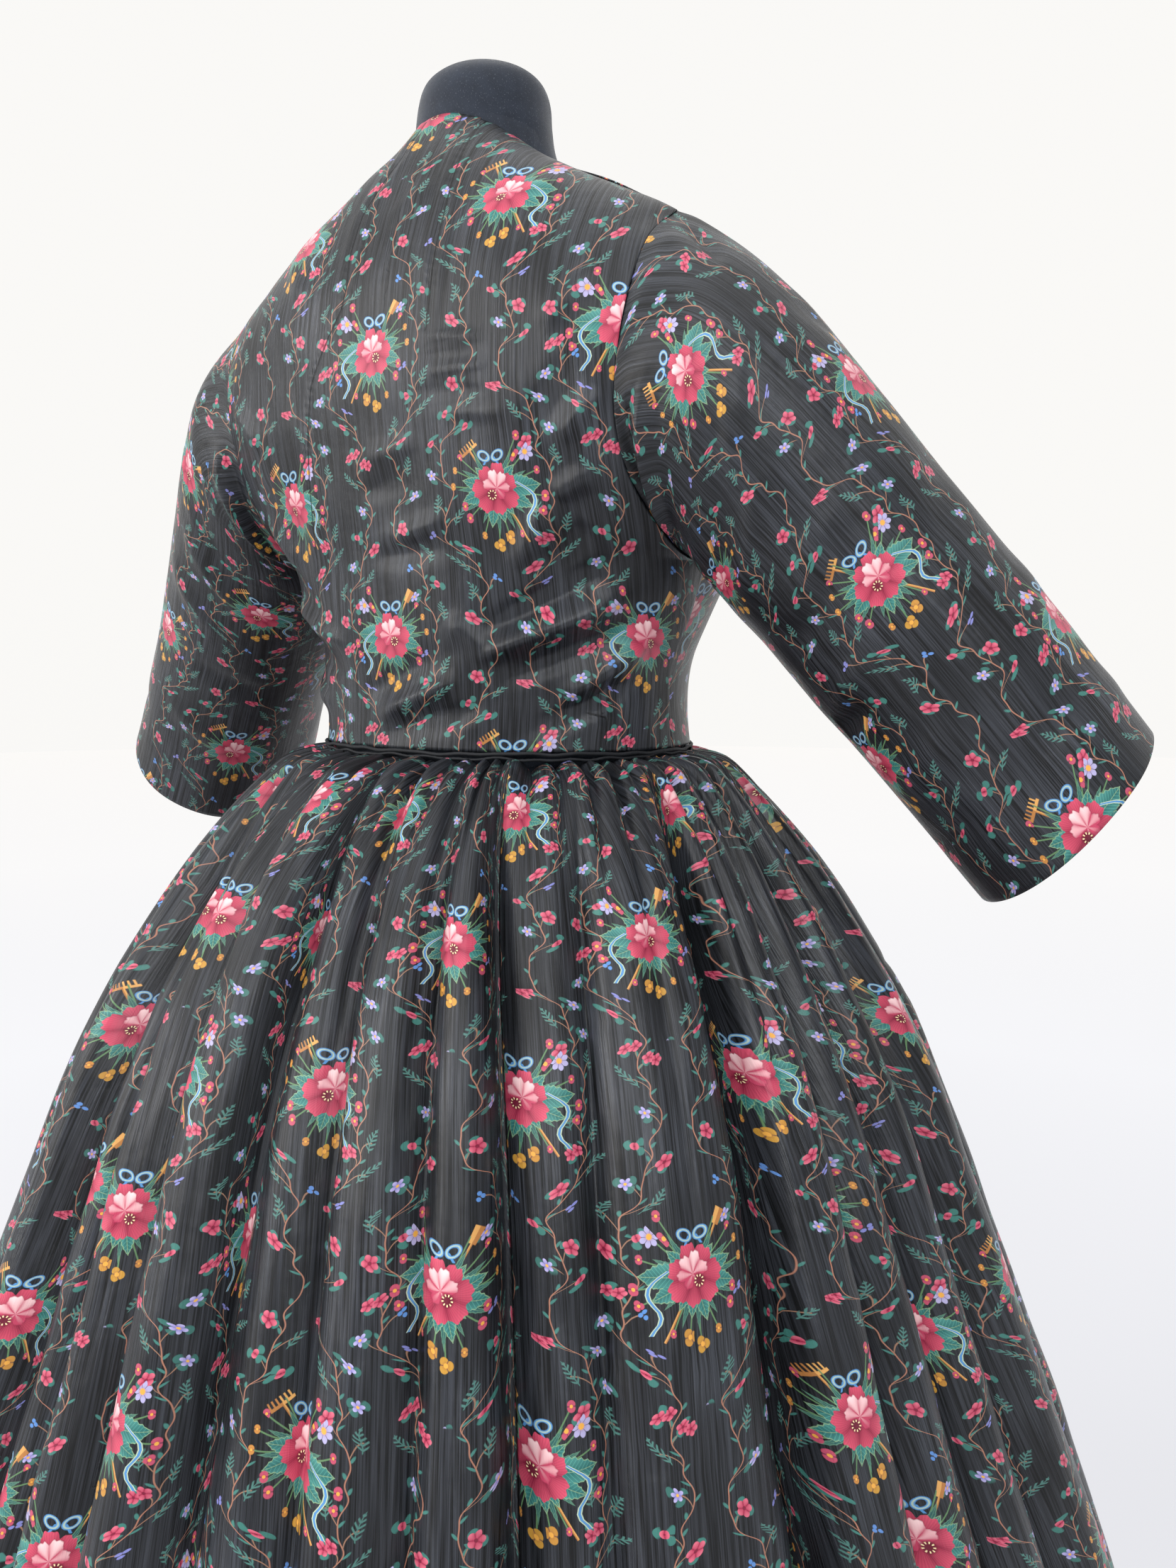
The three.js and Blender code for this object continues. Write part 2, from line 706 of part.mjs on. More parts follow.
const basePlate = addMesh(
  'form_base',
  new THREE.CylinderGeometry(basePlateRadius - 8, basePlateRadius, basePlateHeight, 48),
  baseColour, 0.55, 0,
);
basePlate.rotation.x = Math.PI / 2;
basePlate.position.z = basePlateHeight / 2;

export default group;
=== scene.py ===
"""A gathered day dress of glazed chintz, standing on a limbless dress form.

Lengths in the tables are millimetres, as in the pattern drafts; meshes are made in metres.
The front of the dress faces -Y and the wearer's right side is -X.
"""
import math

import bmesh
import bpy
import numpy as np
from mathutils import Matrix, Vector


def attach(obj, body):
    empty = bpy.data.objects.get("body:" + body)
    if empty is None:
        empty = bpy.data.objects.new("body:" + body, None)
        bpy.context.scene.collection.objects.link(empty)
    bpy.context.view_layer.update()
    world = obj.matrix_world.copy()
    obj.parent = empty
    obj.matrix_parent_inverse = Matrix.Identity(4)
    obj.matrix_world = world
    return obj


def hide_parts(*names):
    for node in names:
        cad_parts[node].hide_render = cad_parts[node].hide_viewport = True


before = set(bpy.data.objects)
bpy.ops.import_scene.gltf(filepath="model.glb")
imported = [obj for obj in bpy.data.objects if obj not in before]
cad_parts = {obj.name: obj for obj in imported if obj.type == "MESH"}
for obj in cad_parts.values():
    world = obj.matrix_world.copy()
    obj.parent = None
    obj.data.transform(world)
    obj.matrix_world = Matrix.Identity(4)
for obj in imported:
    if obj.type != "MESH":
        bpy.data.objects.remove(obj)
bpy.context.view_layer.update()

MM = 0.001

# ---------------------------------------------------------------- camera

CAMERA_PLACE = (-0.4964, 0.6610, 1.0951)
CAMERA_YAW = math.radians(33.12)
CAMERA_PITCH = math.radians(6.03)
CAMERA_ROLL = math.radians(0.232)
CAMERA_LENS = 28.49


def set_camera():
    """The camera stands behind the dress, on the wearer's right, a little above the waist."""
    ahead = Vector((
        math.sin(CAMERA_YAW) * math.cos(CAMERA_PITCH),
        -math.cos(CAMERA_YAW) * math.cos(CAMERA_PITCH),
        -math.sin(CAMERA_PITCH),
    ))
    right = Vector((-math.cos(CAMERA_YAW), -math.sin(CAMERA_YAW), 0))
    up = right.cross(ahead)
    rolled_right = right * math.cos(CAMERA_ROLL) + up * math.sin(CAMERA_ROLL)
    rolled_up = up * math.cos(CAMERA_ROLL) - right * math.sin(CAMERA_ROLL)
    turn = Matrix((rolled_right, rolled_up, -ahead)).transposed()
    data = bpy.data.cameras.new("camera")
    data.sensor_width = 36
    data.lens = CAMERA_LENS
    data.clip_start = 0.02
    data.clip_end = 60
    camera = bpy.data.objects.new("camera", data)
    camera.matrix_world = Matrix.Translation(Vector(CAMERA_PLACE)) @ turn.to_4x4()
    bpy.context.scene.collection.objects.link(camera)
    bpy.context.scene.camera = camera


# ---------------------------------------------------------------- sizes

WAIST_HEIGHT = 1036.0
WAIST_HALF_WIDTH = 127.0
WAIST_HALF_DEPTH = 105.0
HEM_CLEARANCE = 20.0
SKIRT_PANELS = 5
GATHERS = 85
FIRST_SEAM = 38.0
WIDTH_OF_CLOTH = 722.0
SEAM_GAP = 0.3
UNDERARM_HEIGHT = 112.0
CLOTH_THICKNESS = 0.7

# Heights from here on are measured from the waist.
ARMHOLE_BACK = np.array([
    # x, y, height, from the underarm up the back to the shoulder point
    (147, 0, 112), (148, 36, 119), (147, 64, 135), (144, 86, 158), (144, 98, 188),
    (148, 100, 220), (151, 92, 252), (151, 74, 279), (149, 42, 300),
], float)
ARMHOLE_FRONT = np.array([
    # x, y, height, from the underarm up the front to the shoulder point
    (147, 0, 112), (145, -28, 120), (140, -47, 138), (136, -57, 162), (134, -58, 190),
    (135, -50, 222), (139, -32, 252), (144, -2, 281), (149, 42, 300),
], float)
SHOULDER_SEAM = np.array([
    # x, y, height, from the armhole to the side of the neck
    (149, 42, 300), (118, 43, 318), (82, 37, 336), (50, 25, 353),
], float)
BACK_LINE = np.array([
    # edge height, height at the centre line, reach of the centre, squareness of the section
    (0, 0, 105, 2.0), (40, 40, 101, 2.05), (112, 112, 106, 2.2), (160, 160, 113, 2.6),
    (215, 215, 119, 2.8), (260, 260, 117, 2.7), (300, 304, 104, 2.3), (330, 345, 86, 2.1),
    (353, 375, 63, 2.0),
], float)
FRONT_LINE = np.array([
    (0, 0, -105, 2.0), (40, 40, -107, 2.05), (112, 112, -128, 2.3), (160, 158, -134, 2.4),
    (215, 203, -124, 2.4), (260, 236, -108, 2.3), (300, 266, -86, 2.2), (330, 286, -58, 2.1),
    (353, 306, -28, 2.0),
], float)
SIDE_LINE = np.array([
    # height, half width
    (0, 127), (20, 123), (42, 122), (62, 126), (85, 135), (112, 147),
], float)
SLEEVE_SECTIONS = np.array([
    # x, y, height, lean, heading, half height, half depth
    (158, 24, 203, 5, 0, 89, 76), (173, 24, 194, 13, 6, 80, 76), (191, 16, 171, 25, 14, 75, 73),
    (213, 6, 142, 35, 20, 70, 70), (240, -7, 107, 42, 24, 67, 68), (267, -20, 72, 46, 26, 65.5, 68),
    (294, -33, 37, 47, 26, 65, 69), (320, -46, 2, 45, 26, 64, 71), (343, -57, -29, 40, 26, 64, 73),
], float)
SKIRT_PROFILE = np.array([
    # drop below the waist, radius
    (0, 117), (2, 118), (4, 132), (8, 143), (14, 151), (23, 161), (36, 174), (67, 201), (110, 232),
    (151, 258), (192, 280), (253, 305), (311, 328), (385, 356), (455, 383), (600, 434), (800, 501),
    (1016, 568),
], float)
FOLDS = np.array([
    # bearing at the waist, bearing lower down, depth, half width in degrees
    (-63, -50, 12, 4.2), (-51, -38, 13, 3.8), (-40, -27, 12, 3.6), (-32, -18, 14, 3.2),
    (-24, -9, 16, 3.2), (-13, 0, 13, 3.6), (2, 10, 14, 3.2), (14, 20, 9, 3.0),
    (26, 29.5, 8, 2.6), (33, 37.6, 13, 2.2), (49, 45, 7, 2.8), (69, 61.8, 20, 2.0),
    (80, 71.8, 15, 1.9), (90, 82, 12, 3.0), (100, 92, 14, 3.2), (110, 105, 10, 3.6),
    (120, 117, 13, 3.6), (133, 130, 9, 3.8), (144, 142, 14, 3.6), (157, 156, 10, 4.0),
    (170, 169, 13, 3.6), (183, 183, 9, 4.0), (194, 196, 14, 3.6), (207, 209, 11, 3.8),
    (218, 222, 12, 3.6), (231, 236, 9, 4.2), (243, 249, 15, 3.6), (256, 263, 13, 3.8),
    (268, 276, 14, 3.8), (282, 293, 14, 4.4),
], float)


# ---------------------------------------------------------------- curves and grids

def curve(keys, values, places):
    """Smooth monotone curve through a column of a table."""
    keys = np.asarray(keys, float)
    values = np.asarray(values, float)
    places = np.clip(places, keys[0], keys[-1])
    slopes = np.diff(values) / np.diff(keys)
    before, after = slopes[:-1], slopes[1:]
    product = before * after
    total = np.where(np.abs(before + after) < 1e-12, 1.0, before + after)
    inner = np.where(product > 0, 2 * product / total, 0.0)
    tangents = np.concatenate(([slopes[0]], inner, [slopes[-1]]))
    low = np.clip(np.searchsorted(keys, places, side="right") - 1, 0, len(keys) - 2)
    span = keys[low + 1] - keys[low]
    t = (places - keys[low]) / span
    t2, t3 = t * t, t * t * t
    return (
        (2 * t3 - 3 * t2 + 1) * values[low] + (t3 - 2 * t2 + t) * span * tangents[low]
        + (3 * t2 - 2 * t3) * values[low + 1] + (t3 - t2) * span * tangents[low + 1]
    )


def along(rows, shares):
    """Points at shares 0 to 1 along a smooth line through a table's rows."""
    last = len(rows) - 1
    before, after = 2 * rows[:1] - rows[1:2], 2 * rows[-1:] - rows[-2:-1]
    padded = np.concatenate((before, rows, after))
    place = np.clip(shares, 0, 1) * last
    low = np.minimum(place.astype(int), last - 1)
    t = (place - low).reshape(place.shape + (1,) * (rows.ndim - 1))
    p0, p1, p2, p3 = (padded[low + k] for k in range(4))
    return 0.5 * (
        2 * p1 + (p2 - p0) * t + (2 * p0 - 5 * p1 + 4 * p2 - p3) * t ** 2
        + (3 * p1 - p0 - 3 * p2 + p3) * t ** 3
    )


def outward(points, is_tube=False):
    """Unit normals of a grid of points whose columns run to the right and rows upwards."""
    if is_tube:
        across = np.roll(points, -1, axis=1) - np.roll(points, 1, axis=1)
    else:
        across = np.gradient(points, axis=1)
    upwards = np.gradient(points, axis=0)
    normal = np.cross(across, upwards)
    return normal / np.maximum(np.linalg.norm(normal, axis=2, keepdims=True), 1e-9)


def turn_between(bearing, other):
    """Turn from one bearing to another, from -180 to 180 degrees."""
    return (bearing - other + 540) % 360 - 180


def fade_in(columns, reach):
    """0 at both side edges of a piece and 1 from a number of columns inwards."""
    order = np.arange(columns)
    return np.clip(np.minimum(order, order[::-1]) / reach, 0, 1)


def arc_along(line):
    """Distance along a line of points from its first point."""
    steps = np.linalg.norm(np.diff(line, axis=0), axis=1)
    return np.concatenate(([0.0], np.cumsum(steps)))


def arc_across(points):
    """Distance along each row from its first point."""
    steps = np.linalg.norm(np.diff(points, axis=1), axis=2)
    return np.concatenate((np.zeros((len(points), 1)), np.cumsum(steps, axis=1)), axis=1)


def cloth_piece(name, points, prints, is_tube=False, marks=None):
    """A mesh from a grid of points in millimetres, with the place of each point on the print.

    The points run rightwards and upwards as seen from outside. The first and last columns of a
    tube lie together and are sewn shut. Marks tell the material where stitched lines run.
    """
    rows, columns = points.shape[:2]
    shape = bmesh.new()
    shape.loops.layers.uv.new("cloth")
    bmesh.ops.create_grid(
        shape, x_segments=columns - 1, y_segments=rows - 1, size=0.5, calc_uvs=False,
    )
    mesh = bpy.data.meshes.new(name)
    shape.to_mesh(mesh)
    shape.free()
    place = np.empty(len(mesh.vertices) * 3)
    mesh.vertices.foreach_get("co", place)
    place = place.reshape(-1, 3)
    column = np.rint((place[:, 0] + 0.5) * (columns - 1)).astype(int)
    row = np.rint((place[:, 1] + 0.5) * (rows - 1)).astype(int)
    mesh.vertices.foreach_set("co", (points[row, column] * MM).ravel())
    corner = np.empty(len(mesh.loops), int)
    mesh.loops.foreach_get("vertex_index", corner)
    mesh.uv_layers["cloth"].data.foreach_set(
        "uv", (prints[row[corner], column[corner]] * MM).astype(np.float32).ravel(),
    )
    if marks is not None:
        layer = mesh.attributes.new("stitching", "FLOAT_COLOR", "POINT")
        layer.data.foreach_set("color", marks[row, column].astype(np.float32).ravel())
    if is_tube:
        shape = bmesh.new()
        shape.from_mesh(mesh)
        bmesh.ops.remove_doubles(shape, verts=shape.verts, dist=1e-5)
        shape.to_mesh(mesh)
        shape.free()
    mesh.polygons.foreach_set("use_smooth", np.ones(len(mesh.polygons), bool))
    piece = bpy.data.objects.new(name, mesh)
    bpy.context.scene.collection.objects.link(piece)
    return piece


def thicken(piece, thickness):
    """Gives the cloth its thickness, on the inside."""
    wall = piece.modifiers.new("thickness", "SOLIDIFY")
    wall.thickness = thickness * MM
    wall.offset = -1
    wall.use_rim = True


# ---------------------------------------------------------------- creases

def crease(u, v, start, end, height, width, taper=0.35):
    """A soft ridge (or, with a negative height, a trough) between two places on the cloth."""
    (u0, v0), (u1, v1) = start, end
    du, dv = u1 - u0, v1 - v0
    length2 = du * du + dv * dv
    t = ((u - u0) * du + (v - v0) * dv) / length2
    inside = np.clip(t, 0, 1)
    away2 = (u - u0 - inside * du) ** 2 + (v - v0 - inside * dv) ** 2
    ends = np.clip(np.minimum(inside, 1 - inside) / taper, 0.12, 1)
    return height * np.exp(-away2 / width ** 2) * np.sin(ends * math.pi / 2) ** 1.5


def creased(u, v, table, gain=1.0, narrowing=1.0):
    """All the creases of a table together."""
    relief = np.zeros_like(u)
    for start, end, height, width in table:
        relief += gain * crease(u, v, start, end, height, width * narrowing)
    return relief


def ripples(u, v, seed, count, size, depth):
    """Low random unevenness of cloth that has been worn and folded away."""
    draw = np.random.default_rng(seed)
    total = np.zeros_like(u)
    for _ in range(count):
        heading = draw.uniform(0, math.tau)
        pitch = size * draw.uniform(0.6, 1.8)
        phase = draw.uniform(0, math.tau)
        wave = (u * math.cos(heading) + v * math.sin(heading)) * math.tau / pitch
        total += np.sin(wave + phase + 1.3 * np.sin(0.37 * wave + 2 * phase))
    return depth * total / math.sqrt(count)


def seam_distance(u, v, line):
    """Distance from a stitched line, positive on its right; then 1 beside it or 0 past its ends."""
    best = np.full_like(u, 1e9)
    signed = np.full_like(u, 1e9)
    on_line = np.zeros_like(u)
    last = len(line) - 2
    for number, ((u0, v0), (u1, v1)) in enumerate(zip(line[:-1], line[1:])):
        du, dv = u1 - u0, v1 - v0
        length = math.hypot(du, dv)
        t = ((u - u0) * du + (v - v0) * dv) / length ** 2
        inside = np.clip(t, 0, 1)
        away = np.hypot(u - u0 - inside * du, v - v0 - inside * dv)
        side = ((u - u0) * dv - (v - v0) * du) / length
        before = -t if number == 0 else -9
        after = t - 1 if number == last else -9
        past = np.maximum(before, after) * length
        nearer = away < best
        best = np.where(nearer, away, best)
        signed = np.where(nearer, np.where(np.abs(side) > 1e-6, np.sign(side), 1) * away, signed)
        on_line = np.where(nearer, np.clip(1 - past / 1.5, 0, 1), on_line)
    return signed, on_line


def seam_marks(u, v, lines):
    """Each point's distance from the nearest stitched line, for the material to draw it."""
    best = np.full_like(u, 1e9)
    marks = np.zeros(u.shape + (4,))
    marks[:, :, 3] = 1
    for line in lines:
        away, on_line = seam_distance(u, v, line)
        nearer = np.abs(away) < best
        best = np.where(nearer, np.abs(away), best)
        marks[nearer, 0] = 0.5 + np.clip(away[nearer] / 20, -0.5, 0.5)
        marks[nearer, 1] = on_line[nearer]
    return marks


# ---------------------------------------------------------------- bodice

def side_edges(armhole, rows_below, rows_beside, rows_above):
    """Side edges of the sections, from the waist to the neck."""
    heights = np.linspace(2, UNDERARM_HEIGHT, rows_below, endpoint=False)
    below = np.stack((
        curve(SIDE_LINE[:, 0], SIDE_LINE[:, 1], heights), np.zeros(rows_below), heights,
    ), axis=1)
    beside = along(armhole, np.linspace(0, 1, rows_beside, endpoint=False))
    above = along(SHOULDER_SEAM, np.linspace(0, 1, rows_above))
    return np.vstack((below, beside, above))


def bodice_sections(line, edges, fractions):
    """Points of the bodice sections; fraction 0 is the centre line and 1 the side edge."""
    edge_x, edge_y, edge_z = (edges[:, k:k + 1] for k in range(3))
    centre_height = curve(line[:, 0], line[:, 1], edge_z)
    reach = curve(line[:, 0], line[:, 2], edge_z)
    square = curve(line[:, 0], line[:, 3], edge_z)
    back_centre = 24 * np.clip((edge_z - 250) / 50, 0, 1)
    middle = np.where(reach > 0, np.minimum(edge_y, back_centre), np.maximum(edge_y, 0))
    depth = reach - middle
    edge_share = np.minimum(1, np.abs((edge_y - middle) / depth))
    full_width = edge_x / (1 - edge_share ** square) ** (1 / square)
    swing = np.arcsin(np.minimum(1, edge_x / full_width))
    x = full_width * np.sin(fractions[None, :] * swing)
    y = middle + depth * np.maximum(0, 1 - (x / full_width) ** square) ** (1 / square)
    z = centre_height + (edge_z - centre_height) * (x / edge_x) ** 2
    return np.stack((x, y, z + WAIST_HEIGHT), axis=2)


def eased(points, rounds):
    """Softens the change from row to row inside a section and leaves its side edges in place."""
    inwards = fade_in(points.shape[1], 0.14 * points.shape[1])
    share = (inwards * inwards * (3 - 2 * inwards))[None, :, None] * 0.5
    points = points.copy()
    for _ in range(rounds):
        points[1:-1] += share * ((points[:-2] + points[2:]) / 2 - points[1:-1])
    return points


def whole_section(line, armhole, is_back, half_columns):
    """A whole back or front as seen from outside, with its cloth places u and v."""
    below, beside, above = (56, 100, 34) if is_back else (46, 84, 30)
    edges = side_edges(armhole, below, beside, above)
    fractions = np.linspace(0, 1, half_columns + 1)
    half = bodice_sections(line, edges, fractions)
    other = half * np.array([-1, 1, 1])
    right_hand = other if is_back else half
    left_hand = half if is_back else other
    points = eased(np.concatenate((left_hand[:, :0:-1], right_hand), axis=1), 70)
    u = arc_across(points)
    u = u - u[:, half_columns:half_columns + 1]
    centre = points[:, half_columns]
    v = np.interp(points[:, :, 2], centre[:, 2], arc_along(centre))
    # shoulders that rise past the centre line's top go on along the cloth
    steps = np.linalg.norm(np.diff(points, axis=0), axis=2) * (points[1:, :, 2] > centre[-1, 2])
    v[1:] += np.cumsum(steps, axis=0)
    return points, u, v


def bodice_back():
    """The back in one piece, creased above the waist and ridged along its darts."""
    points, u, v = whole_section(BACK_LINE, ARMHOLE_BACK, True, 98)
    relief = creased(u, v, BACK_CREASES, 2.9, 0.85) + ripples(u, v, 11, 9, 60, 0.6)
    # the loose lower back stands off the form, and no crease goes as deep as the form
    lift, height, spread = LOOSE_BACK
    relief += lift * np.exp(-((v - height) / spread) ** 2) * np.clip(v / 25, 0, 1)
    relief = np.where(relief < 0, DEEPEST_CREASE * np.tanh(relief / DEEPEST_CREASE), relief)
    for line in BACK_SEAMS:
        away, on_line = seam_distance(u, v, line)
        relief += 0.7 * np.exp(-((np.abs(away) - 5) / 3.4) ** 2) * on_line
    calm = np.clip(v / 12, 0, 1)
    points = points + outward(points) * (relief * calm)[:, :, None]
    shift_u, shift_v = BACK_PRINT
    prints = np.stack((u + shift_u, v + shift_v), axis=2)
    return cloth_piece("bodice_back_cloth", points, prints, marks=seam_marks(u, v, BACK_SEAMS))


BACK_PRINT = (45, -66.7)
# How far the loose lower back stands off, how high above the waist and over what spread.
LOOSE_BACK = (3.6, 75, 62)
DEEPEST_CREASE = 1.1
# Creases of the back in cloth places: start, end, height and width.
BACK_CREASES = [
    # strong soft folds that run from the waist up to the right side
    ((41.6, 50.4), (147.6, 95.1), 3.4, 8), ((48, 66), (140, 112), -2.4, 8),
    ((62, 40), (156, 78), -2.0, 7), ((93.6, 26.4), (158, 69.5), 2.3, 7.5),
    ((78, 10), (150, 42), -1.8, 7), ((-22, 16.8), (46.6, 43.2), 2.0, 7),
    ((-10, 6), (60, 28), -1.6, 7), ((-34, 30), (30, 58), -1.4, 8),
    # below the right armhole
    ((76.3, 101.1), (106.7, 144.9), 1.9, 8), ((104, 142), (134, 156.3), 1.6, 7),
    ((92, 96), (124, 132), -1.5, 8), ((112, 168), (140, 196), 1.5, 7),
    ((96, 176), (128, 212), -1.2, 8), ((104, 226), (138, 262), 1.1, 9),
    # across the middle of the back
    ((-8.3, 121.9), (43.5, 132.8), 1.1, 7), ((-20, 112), (40, 118), -1.0, 8),
    ((32.5, 76.7), (58.8, 59.9), 1.6, 9), ((26, 233), (77, 227), 0.6, 2.6),
    ((22, 222), (74, 219), -0.5, 2.8), ((30, 212), (78, 213), 0.5, 2.6),
    ((24, 203), (77, 199), -0.6, 3), ((40, 190), (88, 186), 0.5, 3.2),
    ((-26, 236), (20, 240), -0.5, 3.2), ((-20, 168), (26, 176), 0.8, 7),
    ((-24, 150), (18, 156), -0.7, 7),
    # left side
    ((-40, 58), (-128, 96), 2.4, 8), ((-52, 42), (-142, 74), -1.8, 8),
    ((-70, 20), (-150, 50), 1.8, 8), ((-90, 104), (-132, 150), 1.7, 8),
    ((-78, 116), (-116, 168), -1.3, 8), ((-108, 182), (-138, 216), 1.3, 8),
    ((-62, 262), (-96, 306), 0.9, 9), ((60, 292), (102, 322), 0.8, 9),
    ((-10, 300), (24, 330), 0.5, 10),
]
# Stitched lines of the back in cloth places: two darts from the neck, one running on to the
# waist, and a patch.
BACK_SEAMS = (
    ((30.5, 384), (34, 340), (35.6, 302), (35.3, 262), (33.8, 236)),
    ((-9, 384), (-13, 352), (-20, 338), (-28.7, 315), (-30, 290), (-27.5, 267), (-30, 256),
     (-41, 241), (-56, 214), (-62, 180), (-66, 148), (-78, 76), (-92, 0)),
    ((116, 22.5), (127, 19.6)), ((126.6, 20.5), (128.2, 5)),
)


def bodice_front(side):
    """One front, from the centre edge to the side seam; side is 1 on the wearer's left."""
    points, u, v = whole_section(FRONT_LINE, ARMHOLE_FRONT, False, 66)
    centre = 66
    part = slice(centre, None) if side > 0 else slice(None, centre + 1)
    points, u, v = points[:, part], u[:, part], v[:, part]
    relief = creased(np.abs(u), v, FRONT_CREASES) + ripples(u, v, 21 + side, 8, 70, 0.4)
    calm = np.clip(np.minimum(v, 60) / 25, 0, 1)
    points = points + outward(points) * (relief * calm)[:, :, None]
    points[:, 0 if side > 0 else -1, 0] += side * SEAM_GAP / 2
    name = "bodice_front_left_cloth" if side > 0 else "bodice_front_right_cloth"
    return cloth_piece(name, points, np.stack((u, v), axis=2))


FRONT_CREASES = [
    # from the centre edge outwards: soft folds above the waist and towards the armhole
    ((20, 30), (95, 70), 1.4, 11), ((15, 62), (88, 112), 1.0, 12), ((48, 22), (112, 40), -1.2, 9),
    ((92, 205), (60, 262), -1.3, 9), ((104, 170), (78, 226), 1.2, 10),
    ((30, 215), (52, 262), 0.9, 12),
]


# ---------------------------------------------------------------- sleeves

def sleeve_grid(side, rows, columns):
    """Grid of a sleeve from the cuff up to the armhole, seen from outside."""
    around = np.linspace(0, 1, columns)
    back_part = along(ARMHOLE_BACK, np.clip(1 - 2 * around, 0, 1))
    front_part = along(ARMHOLE_FRONT, np.clip(2 * around - 1, 0, 1))
    armhole = np.where((around < 0.5)[:, None], back_part, front_part)
    angle = math.tau * around
    rings = [armhole + np.array([0.15, 0, 0])]
    for number, (x, y, z, lean, heading, half_height, half_depth) in enumerate(SLEEVE_SECTIONS):
        lean, heading = math.radians(lean), math.radians(heading)
        up = np.array([
            math.sin(lean) * math.cos(heading), -math.sin(lean) * math.sin(heading), math.cos(lean),
        ])
        back = np.array([math.sin(heading), math.cos(heading), 0])
        ring = (
            np.array([x, y, z]) + up * half_height * np.cos(angle)[:, None]
            + back * half_depth * np.sin(angle)[:, None]
        )
        if number == 0:
            ring = ring * 0.45 + (armhole + np.array([10, 0, -4])) * 0.55
        rings.append(ring)
    shares = 1 - np.linspace(0, 1, rows)
    points = along(np.array(rings), shares)
    points[:, -1] = points[:, 0]
    points = points + np.array([0, 0, WAIST_HEIGHT])
    if side < 0:
        points = points * np.array([-1, 1, 1])
        points = points[:, ::-1]
        around = around[::-1]
    return points, around, shares


def sleeve_places(points, around):
    """Cloth places of a sleeve: along from the cuff, and across from its outer line."""
    outer_line = int(np.argmin(np.abs(around - 0.12)))
    v = arc_along(points[:, outer_line])[:, None] * np.ones((1, points.shape[1]))
    u = arc_across(points)
    return u - u[:, outer_line:outer_line + 1], v


def sleeve(side):
    """One sleeve, closed under the arm; side is 1 on the wearer's left."""
    columns = 145
    points, around, shares = sleeve_grid(side, 136, columns)
    normal = outward(points[:, :-1], True)
    normal = np.concatenate((normal, normal[:, :1]), axis=1)
    u, v = sleeve_places(points, around)
    creases = SLEEVE_CREASES_RIGHT if side < 0 else SLEEVE_CREASES_LEFT
    relief = creased(u, v, creases, 1.5) + ripples(u, v, 31 + side, 8, 85, 0.5)
    join = fade_in(columns, 8)
    seam = np.clip((v.max() - v) / 10, 0, 1)
    points = points + normal * (relief * join[None, :] * seam)[:, :, None]
    name = "sleeve_right_cloth" if side < 0 else "sleeve_left_cloth"
    shift_u, shift_v = SLEEVE_PRINT_RIGHT if side < 0 else SLEEVE_PRINT_LEFT
    return cloth_piece(name, points, np.stack((u + shift_u, v + shift_v), axis=2), is_tube=True)


SLEEVE_PRINT_RIGHT = (176.5, 76)
SLEEVE_PRINT_LEFT = (133.5, 18)
# Creases of the right sleeve in cloth places: start, end, height and width.
SLEEVE_CREASES_RIGHT = [
    # beside the armhole: a deep fold, the roll outside it and the pleat on the sleeve head
    ((-62, 377), (-176, 366), -5.5, 5.5), ((-50, 360), (-172, 346), 5.5, 9),
    ((46, 368), (8, 334), -2.2, 4.5), ((30, 372), (-4, 342), 1.4, 6),
    # soft drag lines towards the cuff
    ((-132.9, 127), (-83.6, 140), 1.9, 7), ((-150, 112), (-104, 117), -3.0, 7),
    ((-120, 180), (-40, 215), 1.7, 10), ((-128, 166), (-52, 192), -1.3, 9),
    ((-140, 215), (-60, 262), 2.2, 10), ((-146, 238), (-70, 290), -1.8, 9),
    ((-100, 262), (-30, 306), 1.4, 9), ((20, 300), (64, 250), -1.3, 10),
    ((36, 310), (84, 262), 1.2, 10), ((-20, 90), (60, 120), 1.1, 12),
    ((-60, 40), (30, 70), -1.0, 12), ((-10, 30), (70, 44), 0.8, 10),
    ((-30, 150), (40, 196), -0.9, 12), ((-150, 60), (-70, 84), 1.6, 9),
    ((-160, 30), (-90, 40), -1.3, 9), ((70, 200), (110, 140), 1.2, 10),
    ((-220, 120), (-180, 220), 2.0, 12), ((-260, 200), (-210, 300), -1.8, 12),
    ((-330, 90), (-280, 180), 1.6, 12), ((-380, 220), (-330, 310), 1.8, 12),
    ((-420, 60), (-350, 120), -1.4, 12),
]
SLEEVE_CREASES_LEFT = [
    ((72, 372), (172, 362), -2.8, 5), ((58, 360), (168, 344), 3.4, 9),
    ((-40, 366), (-6, 334), -1.8, 4.5), ((120, 180), (50, 215), 1.6, 10),
    ((140, 215), (66, 262), 1.8, 10), ((146, 238), (76, 290), -1.5, 9),
    ((96, 268), (34, 304), 1.2, 9), ((20, 96), (-50, 126), 1.0, 12),
    ((62, 44), (-24, 70), -1.0, 12), ((150, 60), (80, 88), 1.6, 9),
    ((160, 128), (96, 140), -1.8, 8), ((230, 120), (186, 216), 2.0, 12),
    ((270, 200), (214, 296), -1.6, 12), ((340, 96), (286, 184), 1.6, 12),
    ((390, 220), (336, 306), 1.6, 12),
]


# ---------------------------------------------------------------- skirt

def column_bearing(column, drop):
    """Bearing of a skirt column at a depth: the columns follow the folds from the waist down."""
    low = np.concatenate((FOLDS[:, 1] - 360, FOLDS[:, 1], FOLDS[:, 1] + 360))
    waist = np.concatenate((FOLDS[:, 0] - 360, FOLDS[:, 0], FOLDS[:, 0] + 360))
    top = curve(low, waist, column)
    settle = np.exp(-((drop / 150) ** 1.3))
    return column + (top - column) * settle


